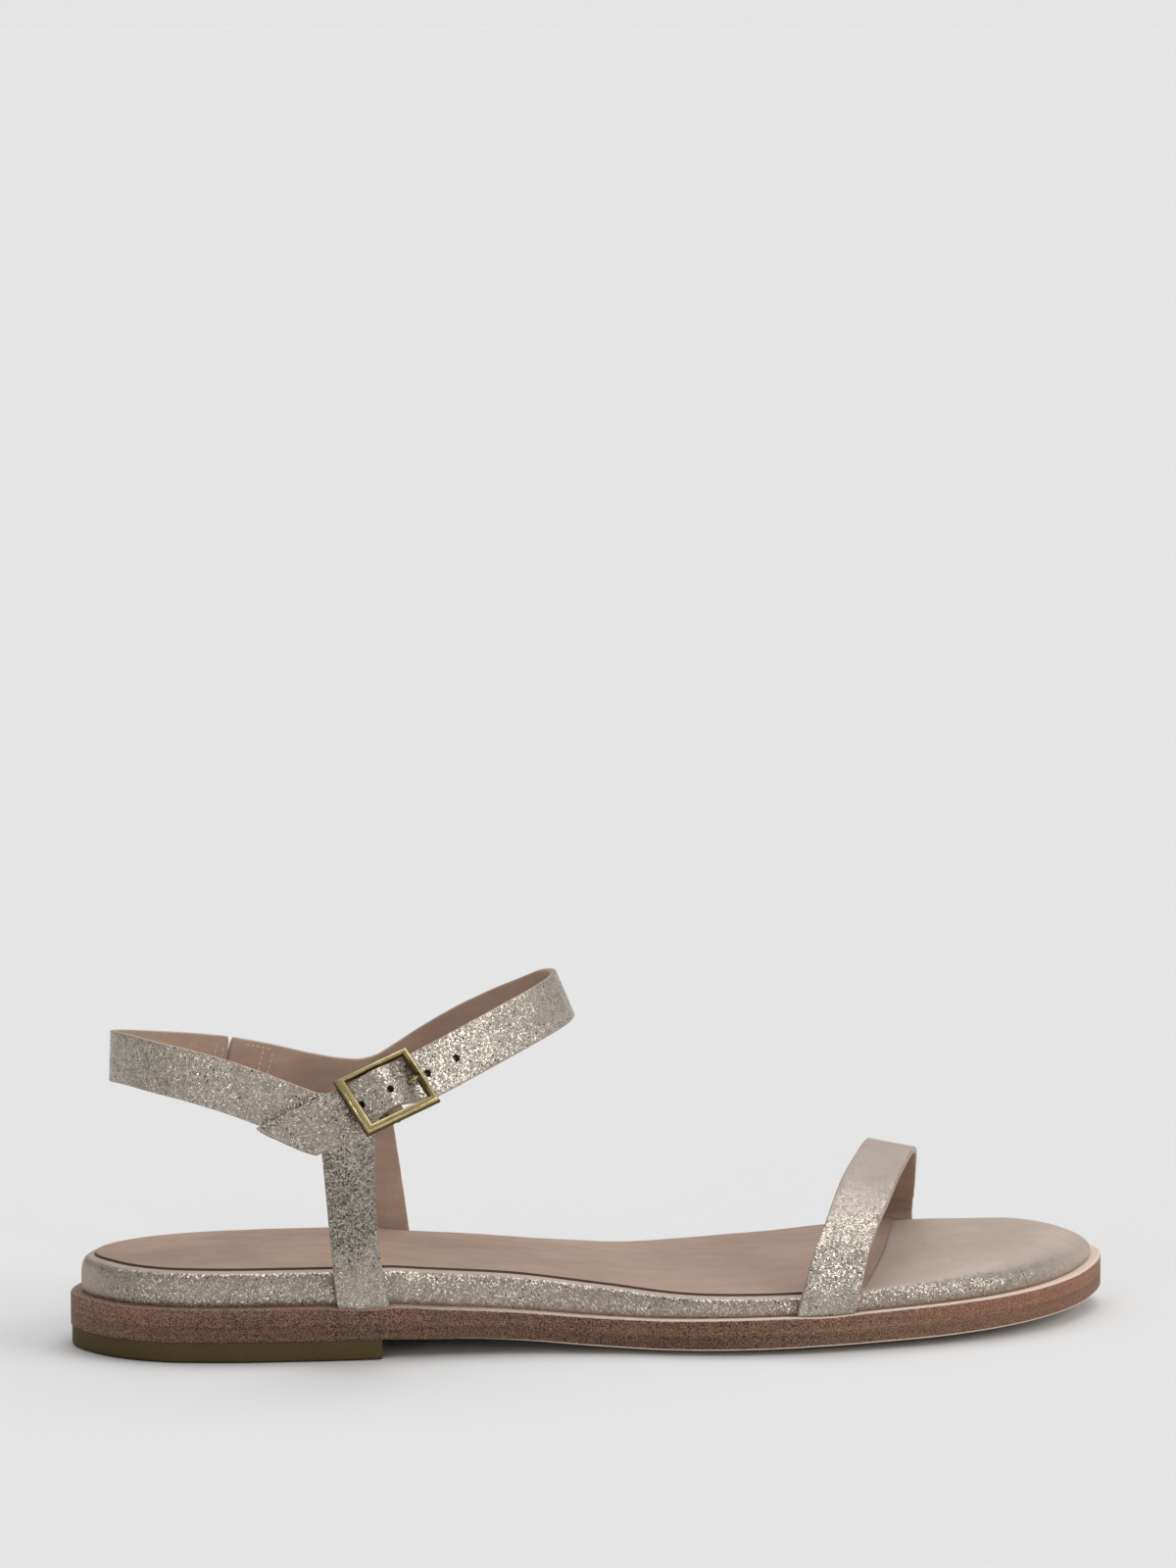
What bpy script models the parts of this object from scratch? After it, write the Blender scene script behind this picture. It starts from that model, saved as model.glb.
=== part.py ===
"""Flat ankle-strap sandal for the right foot: layered sole, padded footbed, toe strap, two quarters and a buckle.

Sizes are in millimetres. +X runs from heel to toe, +Y to the medial side, and the sole stands on Z = 0.
"""

import math

import bmesh
import bpy
import numpy as np
from mathutils import Matrix

MM = 0.001

# Driving dimensions
HEEL_END = -128.0
TOE_TIP = (128.0, 8.6)
GAP = 0.3
HEEL_HEIGHT = 4.9
HEEL_BREAST = -56.0
HEEL_INSET = 0.3
LAYER = 3.85
SOLE_THICKNESS = 2 * LAYER + GAP
FLAT_SHARE = 0.5
FOOTBED_INSET = 2.6
SOCK_INSET = 5.8
SOCK_THICKNESS = 1.0
SOCK_FRONT = ((59.0, -34.0), (82.0, 37.0))
STRAP_WIDTH = 12.0
STRAP_THICKNESS = 1.6
LEDGE_SHARE = 0.95
CLEAR_OF_FOOTBED = 1.5
TAB_WIDTH = 11.0
HOLE_DIAMETER = 2.0
HOLES_FROM_BUCKLE = (-7.7, 0.8, 11.9, 20.5)

# Buckle: a square bar bent into a rectangle, with a round bar across its middle that drops under the strap
FRAME_LENGTH = 19.2
FRAME_HEIGHT = 15.4
FRAME_BAR = 1.7
FRAME_ROUNDING = 0.5
CENTRE_BAR_RADIUS = 0.6
CENTRE_BAR_DROP = 1.8
STRAP_HUMP = 2.6
HUMP_HALF_SPAN = 8.0
PINCH_HALF_SPAN = 14.0
PINCH_BELOW = 1.0
PINCH_ABOVE = 0.5
PRONG_RADIUS = 0.5
PRONG_TURN = (-20.0, -243.0)
PRONG_OVERHANG = 1.2
TAB_SLOT = (-2.3, 3.1)
SLOT_DEPTH = 8.0
BUCKLE_X = -58.0

# Mesh fineness
SOLE_STATIONS = 40
SOLE_COLUMNS = 6
END_CROWDING = 0.55
STRAP_COLUMNS = 4
STRAP_STEP = 2.5

# Sole outline: station along the shoe, half width on the lateral side, half width on the medial side
OUTLINE = (
    (-120.0, 17.5, 17.5),
    (-110.0, 25.0, 25.0),
    (-100.0, 28.2, 28.6),
    (-80.0, 31.0, 30.5),
    (-60.0, 32.2, 29.6),
    (-40.0, 31.6, 28.4),
    (-20.0, 32.4, 29.2),
    (0.0, 36.8, 33.2),
    (20.0, 43.0, 38.2),
    (40.0, 45.2, 42.4),
    (60.0, 43.6, 43.8),
    (80.0, 39.6, 42.8),
    (95.0, 34.2, 40.8),
    (107.0, 26.6, 36.2),
    (115.5, 18.2, 31.4),
    (121.6, 9.4, 25.4),
    (125.6, 1.6, 18.4),
)

# Underside of the sole: station, height on the centre line, how far the edges rise above it
UNDERSIDE = (
    (-128.0, HEEL_HEIGHT, 0.0),
    (HEEL_BREAST, HEEL_HEIGHT, 0.0),
    (-46.0, 4.0, 0.0),
    (-29.0, 2.8, 0.2),
    (-5.0, 0.7, 0.6),
    (10.0, 0.0, 0.8),
    (30.0, 0.0, 1.0),
    (48.0, 0.0, 1.3),
    (67.0, 0.4, 1.4),
    (80.0, 0.8, 1.3),
    (93.0, 1.5, 1.0),
    (107.0, 2.5, 0.6),
    (121.0, 3.8, 0.1),
    (128.0, 4.7, 0.0),
)

# Footbed: station, height of its shoulder above the ledge of the sole, crown of its top
FOOTBED = (
    (-128.0, 7.9, 1.0),
    (-53.0, 7.9, 1.0),
    (-28.0, 7.4, 1.0),
    (-4.0, 6.1, 1.0),
    (19.0, 4.3, 1.0),
    (43.0, 4.0, 1.0),
    (66.0, 4.8, 1.0),
    (93.0, 6.2, 1.4),
    (107.0, 6.2, 1.6),
    (117.0, 5.3, 1.6),
    (128.0, 4.2, 1.4),
)

# Edge profiles from bottom to top: inset from the sole's outline, share of the layer's height
LEATHER_EDGE = ((0.5, 0.0), (0.0, 0.14), (0.0, 0.9), (0.35, 1.0))
FOOTBED_EDGE = (
    (FOOTBED_INSET + 0.6, 0.0),
    (FOOTBED_INSET + 0.1, 0.12),
    (FOOTBED_INSET, 0.45),
    (FOOTBED_INSET + 0.15, 0.72),
    (FOOTBED_INSET + 0.8, 0.9),
    (FOOTBED_INSET + 2.2, 1.0),
)
SOCK_EDGE = ((SOCK_INSET, 0.0), (SOCK_INSET, 0.8), (SOCK_INSET + 0.25, 1.0))

# Heel strap, from the slit on the medial side round the heel to the lateral riser: centre line and lean
HEEL_STRAP = (
    (-87.4, 26.8, 63.5, 2.0),
    (-94.8, 24.5, 64.7, 2.0),
    (-107.1, 17.9, 66.7, 2.0),
    (-115.3, 9.2, 68.5, 2.0),
    (-118.3, 0.0, 69.7, 2.0),
    (-115.3, -11.6, 70.3, 2.0),
    (-111.4, -18.2, 69.9, 2.0),
    (-101.1, -26.2, 68.0, 3.0),
    (-94.6, -29.2, 66.2, 4.0),
    (-88.0, -31.8, 64.0, 5.0),
    (-80.0, -34.0, 61.0, 8.0),
    (-74.4, -35.4, 59.2, 12.0),
    (-70.0, -36.6, 59.1, 17.0),
)

# Ankle strap, from the lateral tail over the instep to the slit on the medial side: centre line and lean
ANKLE_STRAP = (
    (-87.0, -40.8, 52.2, 19.0),
    (-78.0, -41.0, 56.4, 20.0),
    (-66.5, -39.6, 61.5, 25.0),
    (-57.6, -37.6, 65.1, 28.0),
    (-49.5, -34.9, 68.0, 27.0),
    (-44.0, -32.6, 70.1, 25.0),
    (-33.9, -27.9, 74.0, 23.0),
    (-23.2, -21.2, 77.8, 22.0),
    (-15.0, -14.4, 80.4, 22.0),
    (-9.8, -7.0, 81.8, 23.0),
    (-8.1, 0.0, 82.1, 23.0),
    (-9.4, 7.0, 81.2, 22.0),
    (-13.2, 14.8, 78.2, 19.0),
    (-18.0, 20.6, 75.2, 16.0),
    (-26.6, 26.6, 70.1, 11.0),
    (-35.7, 30.2, 64.3, 7.0),
    (-42.0, 31.6, 60.1, 5.0),
    (-46.8, 32.1, 57.4, 4.0),
    (-52.5, 32.2, 56.1, 3.0),
    (-58.5, 31.8, 56.5, 3.0),
    (-66.0, 31.0, 58.0, 2.0),
    (-76.0, 29.6, 60.7, 2.0),
    (-86.8, 27.0, 63.4, 2.0),
)
TAIL_SLANT = 10.0
TAIL_SLANT_FADE = 24.0

# Risers: side of the shoe, back and front at the ledge, back and front where the strap above takes over
RISERS = {
    "lateral": (-1, -68.4, -55.8, -74.8, -61.2),
    "medial": (1, -53.0, -40.6, -57.4, -44.4),
}
RISER_ROWS = 9
RISER_UPRIGHT = 0.45
RISER_EASE = 0.3
FAR_AWAY = 1000.0

# Buckle tab behind the centre bar: distance along the strap, drop below the strap's inner face
TAB_LINE = ((-8.5, 0.9), (-5.0, 0.6), (-2.2, 0.7))

# Toe strap: rear edge and front edge of each section, from the lateral side over the crest to the medial side
TOE_STRAP = (
    (44.7, -38.7, 23.0, 58.8, -37.8, 23.5),
    (48.6, -32.2, 28.1, 62.4, -31.6, 28.3),
    (53.1, -23.0, 33.1, 67.4, -22.4, 33.0),
    (57.7, -13.6, 37.3, 72.2, -12.4, 36.8),
    (62.4, -5.0, 40.2, 76.2, -3.6, 38.6),
    (66.4, 3.2, 41.8, 79.4, 4.2, 39.4),
    (69.8, 12.0, 41.6, 82.2, 12.4, 38.9),
    (72.8, 21.6, 39.0, 84.8, 21.4, 36.2),
    (74.9, 31.0, 33.2, 86.7, 30.0, 30.8),
    (76.0, 38.0, 25.6, 87.9, 36.6, 24.4),
)
# Legs of the toe strap: side of the shoe, rear and front at the ledge, rear and front above the footbed
TOE_STRAP_LEGS = ((-1, 39.9, 54.1, 41.2, 55.6), (1, 76.8, 88.8, 76.5, 88.5))
TOE_STRAP_SECTIONS = 30


def hermite(knots, values, slopes, at):
    """A cubic through the values with the given slopes, read at some places along its knots."""
    cell = np.clip(np.searchsorted(knots, at, side="right") - 1, 0, len(knots) - 2)
    span = (knots[cell + 1] - knots[cell])[:, None]
    t = (at - knots[cell])[:, None] / span
    start = (1 + 2 * t) * (1 - t) ** 2 * values[cell] + t * (1 - t) ** 2 * span * slopes[cell]
    end = t**2 * (3 - 2 * t) * values[cell + 1] + t**2 * (t - 1) * span * slopes[cell + 1]
    return start + end


def table_at(table, at):
    """The columns of a table as smooth functions of its first column, with no overshoot between rows."""
    rows = np.array(table, float)
    knots, values = rows[:, 0], rows[:, 1:]
    secants = np.diff(values, axis=0) / np.diff(knots)[:, None]
    slopes = np.vstack([secants[:1], np.zeros_like(secants[1:]), secants[-1:]])
    before, after = secants[:-1], secants[1:]
    rising = before * after > 0
    total = np.where(rising, before + after, 1.0)
    slopes[1:-1] = np.where(rising, 2 * before * after / total, 0.0)
    at = np.asarray(at, float)
    return hermite(knots, values, slopes, np.clip(at.ravel(), knots[0], knots[-1])).T.reshape((-1,) + at.shape)


class Path:
    """A smooth curve through the rows of a table, read by the length along it. Extra columns are carried along."""

    FINE = 24

    def __init__(self, table, axes=3):
        self.rows = np.array(table, float)
        steps = np.linalg.norm(np.diff(self.rows[:, :axes], axis=0), axis=1)
        self.knots = np.append(0.0, np.cumsum(steps))
        self.slopes = np.gradient(self.rows, self.knots, axis=0)
        self.fine = np.linspace(0.0, self.knots[-1], self.FINE * len(self.rows))
        points = hermite(self.knots, self.rows, self.slopes, self.fine)[:, :axes]
        self.lengths = np.append(0.0, np.cumsum(np.linalg.norm(np.diff(points, axis=0), axis=1)))
        self.length = self.lengths[-1]

    def at(self, lengths):
        return hermite(self.knots, self.rows, self.slopes, np.interp(lengths, self.lengths, self.fine))

    def row_length(self, index):
        """The length along the curve at one row of the table."""
        return np.interp(self.knots[index], self.fine, self.lengths)


def unit(vectors):
    return vectors / np.linalg.norm(vectors, axis=-1, keepdims=True)


def outline_side(column, sign):
    """One side of the outline from heel to toe. A row of the other side at each end keeps the ends round."""
    rows = np.array(OUTLINE)
    side = np.stack([rows[:, 0], sign * rows[:, column]], axis=1)
    other = np.stack([rows[:, 0], -sign * rows[:, 3 - column]], axis=1)
    path = Path([other[0], (HEEL_END, 0.0), *side, TOE_TIP, other[-1]], axes=2)
    heel, toe = path.row_length(1), path.row_length(len(side) + 2)
    even = np.linspace(0.0, 1.0, SOLE_STATIONS + 1)
    closer_at_ends = even - END_CROWDING * np.sin(2 * math.pi * even) / (2 * math.pi)
    return path.at(heel + (toe - heel) * closer_at_ends)


def centred_loop():
    """The sole's outline from the heel along the lateral side to the toe and back, centred on the origin."""
    lateral, medial = outline_side(1, -1), outline_side(2, 1)
    loop = np.vstack([lateral, medial[-2:0:-1]])
    return loop - (loop.max(axis=0) + loop.min(axis=0)) / 2


LOOP = centred_loop()
MIRROR_INDEX = -np.arange(len(LOOP))
HALF_WIDTH = np.linalg.norm(LOOP - LOOP[MIRROR_INDEX], axis=1) / 2
SIDE_SIGN = np.where(np.arange(len(LOOP)) <= SOLE_STATIONS, -1.0, 1.0)
SMALLEST_HALF_WIDTH = 12.0


def sole_loop(inset):
    """The outline moved inwards, and the share of the half width that each of its points lies at."""
    along = unit(np.roll(LOOP, -1, axis=0) - np.roll(LOOP, 1, axis=0))
    inward = np.stack([-along[:, 1], along[:, 0]], axis=1)
    share = SIDE_SIGN * (1 - inset / np.maximum(HALF_WIDTH, SMALLEST_HALF_WIDTH))
    return LOOP + inset * inward, share


def side_y(x, side, inset):
    """Where one side of the outline, moved inwards, passes a station along the shoe."""
    loop = sole_loop(inset)[0]
    line = loop[: SOLE_STATIONS + 1] if side < 0 else np.roll(loop[::-1], 1, axis=0)[: SOLE_STATIONS + 1]
    return np.interp(x, line[:, 0], line[:, 1])


def underside(x, share):
    """Height of the sole's underside: flat across the middle, rising towards the edges."""
    centre, lift = table_at(UNDERSIDE, x)
    return centre + lift * np.clip((np.abs(share) - FLAT_SHARE) / (1 - FLAT_SHARE), 0, 1) ** 2


def outsole_top(x, share):
    return underside(x, share) + LAYER


def midsole_bottom(x, share):
    return outsole_top(x, share) + GAP


def midsole_top(x, share):
    return underside(x, share) + SOLE_THICKNESS


def footbed_bottom(x, share):
    return midsole_top(x, share) + GAP


def footbed_top(x, share):
    shoulder, crown = table_at(FOOTBED, x)
    return midsole_top(x, np.ones_like(x)) + shoulder + crown * (1 - share**2)


def sock_bottom(x, share):
    return footbed_top(x, share) + GAP


def sock_top(x, share):
    return sock_bottom(x, share) + SOCK_THICKNESS


def material(name, colour, roughness, metallic=0.0):
    made = bpy.data.materials.new(name)
    made.use_nodes = True
    shader = made.node_tree.nodes["Principled BSDF"]
    shader.inputs["Base Color"].default_value = (*colour, 1.0)
    shader.inputs["Roughness"].default_value = roughness
    shader.inputs["Metallic"].default_value = metallic
    return made


def new_object(name, mesh, collection, finish=None):
    made = bpy.data.objects.new(name, mesh)
    collection.objects.link(made)
    if finish:
        mesh.materials.append(finish)
    return made


def mesh_of(name, points, faces):
    """A mesh in metres from points in millimetres, with its faces turned one way and shaded smooth."""
    mesh = bpy.data.meshes.new(name)
    mesh.from_pydata((np.asarray(points) * MM).tolist(), [], faces)
    shaped = bmesh.new()
    shaped.from_mesh(mesh)
    bmesh.ops.recalc_face_normals(shaped, faces=shaped.faces)
    shaped.to_mesh(mesh)
    shaped.free()
    mesh.shade_smooth()
    mesh.set_sharp_from_angle(angle=math.radians(40))
    return mesh


def cap_faces(points, loop, heights, share, columns):
    """Closes a ring with rows of faces across the sole. New points go on the end of the list."""
    count = len(loop)
    half = count // 2
    rows = [[loop[0]]]
    for i in range(1, half):
        left, right = loop[i], loop[count - i]
        inner = []
        for k in range(1, columns):
            t = k / columns
            x, y = (1 - t) * points[left][:2] + t * points[right][:2]
            s = (1 - t) * share[i] + t * share[count - i]
            inner.append(len(points))
            points.append(np.array([x, y, heights(np.array(x), np.array(s))]))
        rows.append([left, *inner, right])
    rows.append([loop[half]])
    faces = []
    for a, b in zip(rows[:-1], rows[1:]):
        if len(a) == 1:
            faces += [(a[0], b[k], b[k + 1]) for k in range(columns)]
        elif len(b) == 1:
            faces += [(a[k], b[0], a[k + 1]) for k in range(columns)]
        else:
            faces += [(a[k], b[k], b[k + 1], a[k + 1]) for k in range(columns)]
    return faces


def sole_layer(name, bottom, top, edge):
    """A layer of the sole between two surfaces, with its edge profile lofted round the outline."""
    points, faces, rings = [], [], []
    for inset, level in edge:
        loop, share = sole_loop(inset)
        low, high = bottom(loop[:, 0], share), top(loop[:, 0], share)
        rings.append((range(len(points), len(points) + len(loop)), share))
        points += list(np.column_stack([loop, low + level * (high - low)]))
    for (lower, _), (upper, _) in zip(rings[:-1], rings[1:]):
        for i in range(len(lower)):
            j = (i + 1) % len(lower)
            faces.append((lower[i], lower[j], upper[j], upper[i]))
    faces += cap_faces(points, *(rings[0][0], bottom, rings[0][1]), SOLE_COLUMNS)
    faces += cap_faces(points, *(rings[-1][0], top, rings[-1][1]), SOLE_COLUMNS)
    return mesh_of(name, points, faces)


def strap_frame(path, lengths):
    """Centre, direction, upward edge and outward normal of a strap at some lengths along its path."""
    rows = path.at(lengths)
    lean = np.radians(rows[:, 3:4])
    step = 0.5
    ahead, behind = np.minimum(lengths + step, path.length), np.maximum(lengths - step, 0)
    along = unit((path.at(ahead) - path.at(behind))[:, :3])
    outward = unit(np.stack([along[:, 1], -along[:, 0], np.zeros(len(along))], axis=1))
    upward = unit(np.cross(outward, along))
    across = upward * np.cos(lean) - outward * np.sin(lean)
    normal = outward * np.cos(lean) + upward * np.sin(lean)
    return rows[:, :3], along, across, normal


def sheet_faces(grid):
    """Faces between neighbouring rows of point numbers."""
    faces = []
    for a, b in zip(grid[:-1], grid[1:]):
        faces += [(a[k], a[k + 1], b[k + 1], b[k]) for k in range(len(a) - 1)]
    return faces


def add_rows(points, rows):
    """Puts rows of points on the end of the list and gives their numbers, row by row."""
    grid = []
    for row in rows:
        grid.append(list(range(len(points), len(points) + len(row))))
        points += list(row)
    return grid


def riser_rows(points, top, side, back, front):
    """Rows of a riser under the row of points that it hangs from, down to the ledge beside the footbed."""
    stand_off = FOOTBED_INSET - GAP - STRAP_THICKNESS
    rows = []
    ends = np.linspace(0.0, 1.0, len(top))
    base_x = back + (front - back) * ends
    base_y = side_y(base_x, side, stand_off)
    base_z = footbed_bottom(base_x, np.full(len(top), LEDGE_SHARE))
    base = np.stack([base_x, base_y, base_z], axis=1)
    head = np.array([points[k] for k in top])
    rise = np.linalg.norm(head - base, axis=1)[:, None]
    upright = np.array([0.0, 0.0, 1.0])
    low = base + RISER_UPRIGHT * rise * upright
    high = head - RISER_EASE * rise * unit(head - base + rise * upright)
    for t in np.linspace(1.0, 0.0, RISER_ROWS)[1:]:
        row = (1 - t) ** 3 * base + 3 * t * (1 - t) ** 2 * low + 3 * t**2 * (1 - t) * high + t**3 * head
        climbed = (row - base)[:, 2] / (head - base)[:, 2]
        row[:, 0] = base_x + climbed * (head - base)[:, 0]
        rows.append(row)
    return rows


def strap_object(name, points, faces, outside, collection, finish):
    """A strap from its outer face, thickened towards the foot. outside is a point that the first face looks at."""
    made = new_object(name, mesh_of(name, points, faces), collection, finish)
    first = made.data.polygons[0]
    if (np.array(outside) * MM - np.array(first.center)) @ np.array(first.normal) < 0:
        made.data.flip_normals()
    wall = made.modifiers.new("wall", "SOLIDIFY")
    wall.thickness = STRAP_THICKNESS * MM
    wall.offset = -1.0
    wall.use_even_offset = True
    return made


def buckle_frame_axes():
    """Where the buckle sits on the ankle strap: its middle, along the strap, up across it and outwards."""
    path = Path(ANKLE_STRAP)
    lengths = np.linspace(0.0, path.length / 2, 2000)
    length = lengths[np.argmin(np.abs(path.at(lengths)[:, 0] - BUCKLE_X))]
    middle, along, across, normal = strap_frame(path, np.array([length]))
    return middle[0], along[0], across[0], normal[0]


BUCKLE_MIDDLE, BUCKLE_ALONG, BUCKLE_ACROSS, BUCKLE_OUT = buckle_frame_axes()
BAR_LEVEL = GAP + FRAME_BAR / 2


def at_buckle(along, across, out):
    return BUCKLE_MIDDLE + along * BUCKLE_ALONG + across * BUCKLE_ACROSS + out * BUCKLE_OUT


def near_buckle(points, half_span):
    """1 at the middle of the buckle, easing to 0 a half span away along the strap."""
    reach = np.clip(np.abs((points - BUCKLE_MIDDLE) @ BUCKLE_ALONG) / half_span, 0, 1)
    near = np.linalg.norm(points - BUCKLE_MIDDLE, axis=1) < FRAME_LENGTH
    return near * np.cos(reach * math.pi / 2) ** 2


def hump(points):
    """How far the ankle strap rises over the centre bar at some points of it."""
    return STRAP_HUMP * near_buckle(points, HUMP_HALF_SPAN)


def prong_line():
    """The prong's middle line, along and out from the buckle: round the centre bar, up and over the frame's front bar."""
    ring = CENTRE_BAR_RADIUS + GAP + PRONG_RADIUS
    turns = np.radians(np.linspace(*PRONG_TURN, 10))
    line = [(ring * math.cos(a), -CENTRE_BAR_DROP + ring * math.sin(a)) for a in turns]
    bar_middle = (FRAME_LENGTH - FRAME_BAR) / 2
    rest = BAR_LEVEL + FRAME_BAR / 2 + GAP + PRONG_RADIUS
    return line + [(bar_middle - PRONG_OVERHANG / 2, rest), (bar_middle + PRONG_OVERHANG, rest)]


def ankle_strap_rows():
    """Rows of the ankle strap from its slanted tail to the slit, raised where it passes over the centre bar."""
    path = Path(ANKLE_STRAP)
    lengths = np.linspace(0.0, path.length, round(path.length / STRAP_STEP) + 1)
    columns = []
    for edge in np.linspace(-1.0, 1.0, STRAP_COLUMNS + 1):
        cut = TAIL_SLANT * (1 - edge) / 2
        placed = lengths + cut * np.clip(1 - lengths / TAIL_SLANT_FADE, 0, 1)
        centre, _, across, normal = strap_frame(path, placed)
        pinch = (PINCH_BELOW if edge < 0 else PINCH_ABOVE) * near_buckle(centre, PINCH_HALF_SPAN)
        column = centre + across * edge * (STRAP_WIDTH / 2 - pinch)[:, None]
        columns.append(column + hump(centre)[:, None] * normal)
    return np.stack(columns, axis=1)


def heel_strap_rows():
    """Rows of the heel strap from the slit to the lateral riser, then the tab that loops round the centre bar."""
    path = Path(HEEL_STRAP)
    lengths = np.linspace(0.0, path.length, round(path.length / STRAP_STEP) + 1)
    centre, _, across, _ = strap_frame(path, lengths)
    edges = np.linspace(-1.0, 1.0, STRAP_COLUMNS + 1)
    rows = [c + a * edges[:, None] * STRAP_WIDTH / 2 for c, a in zip(centre, across)]
    loop_radius = CENTRE_BAR_RADIUS + GAP
    turns = np.radians(np.arange(-90.0, 151.0, 30.0))
    line = [(along, -STRAP_THICKNESS - drop) for along, drop in TAB_LINE]
    line += [(loop_radius * math.cos(a), -CENTRE_BAR_DROP + loop_radius * math.sin(a)) for a in turns]
    for along, out in line:
        rows.append(np.array([at_buckle(along, e * TAB_WIDTH / 2, out) for e in edges]))
    return np.array(rows)


def quarter(name, rows, riser, collection, finish):
    """A strap with the riser that it stands on, joined along the strap's lower edge."""
    points = []
    grid = add_rows(points, rows)
    side, back, front, top_back, top_front = RISERS[riser]
    lower = rows[:, 0]
    held = [
        k
        for k in range(len(rows))
        if side * lower[k, 1] > 0 and top_back <= lower[k, 0] <= top_front and lower[k, 2] < BUCKLE_MIDDLE[2]
    ]
    top = [grid[k][0] for k in range(held[0], held[-1] + 1)]
    if lower[held[0], 0] > lower[held[-1], 0]:
        top = top[::-1]
    hanging = add_rows(points, riser_rows(points, top, side, back, front))
    faces = sheet_faces(grid) + sheet_faces([top, *hanging])
    far_side = np.array([0.0, -side * FAR_AWAY, 0.0])
    return strap_object(name, points, faces, points[0] + far_side, collection, finish)


def toe_strap_rows():
    """Sections of the toe strap from the lateral ledge over the crest to the medial ledge."""
    stand_off = FOOTBED_INSET - GAP - STRAP_THICKNESS
    legs = []
    for side, *stations in TOE_STRAP_LEGS:
        x = np.array(stations)
        y = side_y(x, side, stand_off)
        z = footbed_bottom(x, np.full(4, LEDGE_SHARE))
        z[2:] = footbed_top(x[2:], np.ones(2)) + CLEAR_OF_FOOTBED
        rear, front = np.stack([x, y, z], axis=1)[::2], np.stack([x, y, z], axis=1)[1::2]
        legs.append(np.hstack([rear, front]))
    path = Path(np.vstack([legs[0], TOE_STRAP, legs[1][::-1]]), axes=6)
    sections = path.at(np.linspace(0.0, path.length, TOE_STRAP_SECTIONS + 1))
    across = np.linspace(0.0, 1.0, STRAP_COLUMNS + 1)[:, None]
    return [(1 - across) * row[:3] + across * row[3:] for row in sections]


def cutter(made, collection):
    made.hide_render = True
    made.display_type = "WIRE"
    for old in list(made.users_collection):
        old.objects.unlink(made)
    collection.objects.link(made)
    return made


def cut(target, tool, operation="DIFFERENCE"):
    modifier = target.modifiers.new(tool.name, "BOOLEAN")
    modifier.operation = operation
    modifier.object = tool


def buckle_matrix(along, across, out):
    """Placement at a point of the buckle, with X along the strap, Y up across it and Z outwards."""
    axes = np.eye(4)
    axes[:3, 0], axes[:3, 1], axes[:3, 2] = BUCKLE_ALONG, BUCKLE_ACROSS, BUCKLE_OUT
    axes[:3, 3] = at_buckle(along, across, out) * MM
    return Matrix(axes.tolist())


def box(name, size, placement, collection):
    shaped = bmesh.new()
    bmesh.ops.create_cube(shaped, size=1.0, matrix=Matrix.Diagonal((*(s * MM for s in size), 1.0)))
    mesh = bpy.data.meshes.new(name)
    shaped.to_mesh(mesh)
    shaped.free()
    made = new_object(name, mesh, collection)
    made.matrix_world = placement
    return made


def rod(name, radius, length, placement, collection, segments=12):
    shaped = bmesh.new()
    size = {"radius1": radius * MM, "radius2": radius * MM, "depth": length * MM}
    bmesh.ops.create_cone(shaped, cap_ends=True, segments=segments, **size)
    mesh = bpy.data.meshes.new(name)
    shaped.to_mesh(mesh)
    shaped.free()
    made = new_object(name, mesh, collection)
    made.matrix_world = placement
    return made


def wire(name, points, radius, collection, finish=None):
    """A round wire through some points, as a curve with filled ends."""
    curve = bpy.data.curves.new(name, "CURVE")
    curve.dimensions = "3D"
    curve.bevel_depth = radius * MM
    curve.bevel_resolution = 2
    curve.use_fill_caps = True
    spline = curve.splines.new("POLY")
    spline.points.add(len(points) - 1)
    for place, point in zip(spline.points, points):
        place.co = (*(np.array(point) * MM), 1.0)
    return new_object(name, curve, collection, finish)


def as_mesh(curve_object, collection):
    """The curve's solid as a mesh of its own, with its caps welded on."""
    bpy.context.view_layer.update()
    graph = bpy.context.evaluated_depsgraph_get()
    mesh = bpy.data.meshes.new_from_object(curve_object.evaluated_get(graph))
    shaped = bmesh.new()
    shaped.from_mesh(mesh)
    bmesh.ops.remove_doubles(shaped, verts=shaped.verts, dist=1e-6)
    bmesh.ops.recalc_face_normals(shaped, faces=shaped.faces)
    shaped.to_mesh(mesh)
    shaped.free()
    name, placement = curve_object.name, curve_object.matrix_world.copy()
    bpy.data.objects.remove(curve_object)
    made = new_object(name, mesh, collection)
    made.matrix_world = placement
    return made


def build_heel_lift(parts, finish):
    loop = sole_loop(HEEL_INSET)[0]
    behind = [tuple(p) for p in loop if p[0] < HEEL_BREAST]
    corner_y = [float(side_y(HEEL_BREAST, side, HEEL_INSET)) for side in (-1, 1)]
    start = next(i for i in range(len(loop)) if loop[i - 1][0] >= HEEL_BREAST > loop[i][0])
    around = [tuple(np.roll(loop, -start, axis=0)[i]) for i in range(len(behind))]
    outline = [(HEEL_BREAST, corner_y[1]), *around, (HEEL_BREAST, corner_y[0])]
    curve = bpy.data.curves.new("heel_lift", "CURVE")
    curve.dimensions = "2D"
    curve.fill_mode = "BOTH"
    height = HEEL_HEIGHT - GAP
    curve.extrude = height / 2 * MM
    spline = curve.splines.new("POLY")
    spline.points.add(len(outline) - 1)
    spline.use_cyclic_u = True
    for place, (x, y) in zip(spline.points, outline):
        place.co = (x * MM, y * MM, 0.0, 1.0)
    made = new_object("heel_lift", curve, parts, finish)
    made.location.z = height / 2 * MM
    return made


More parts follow.
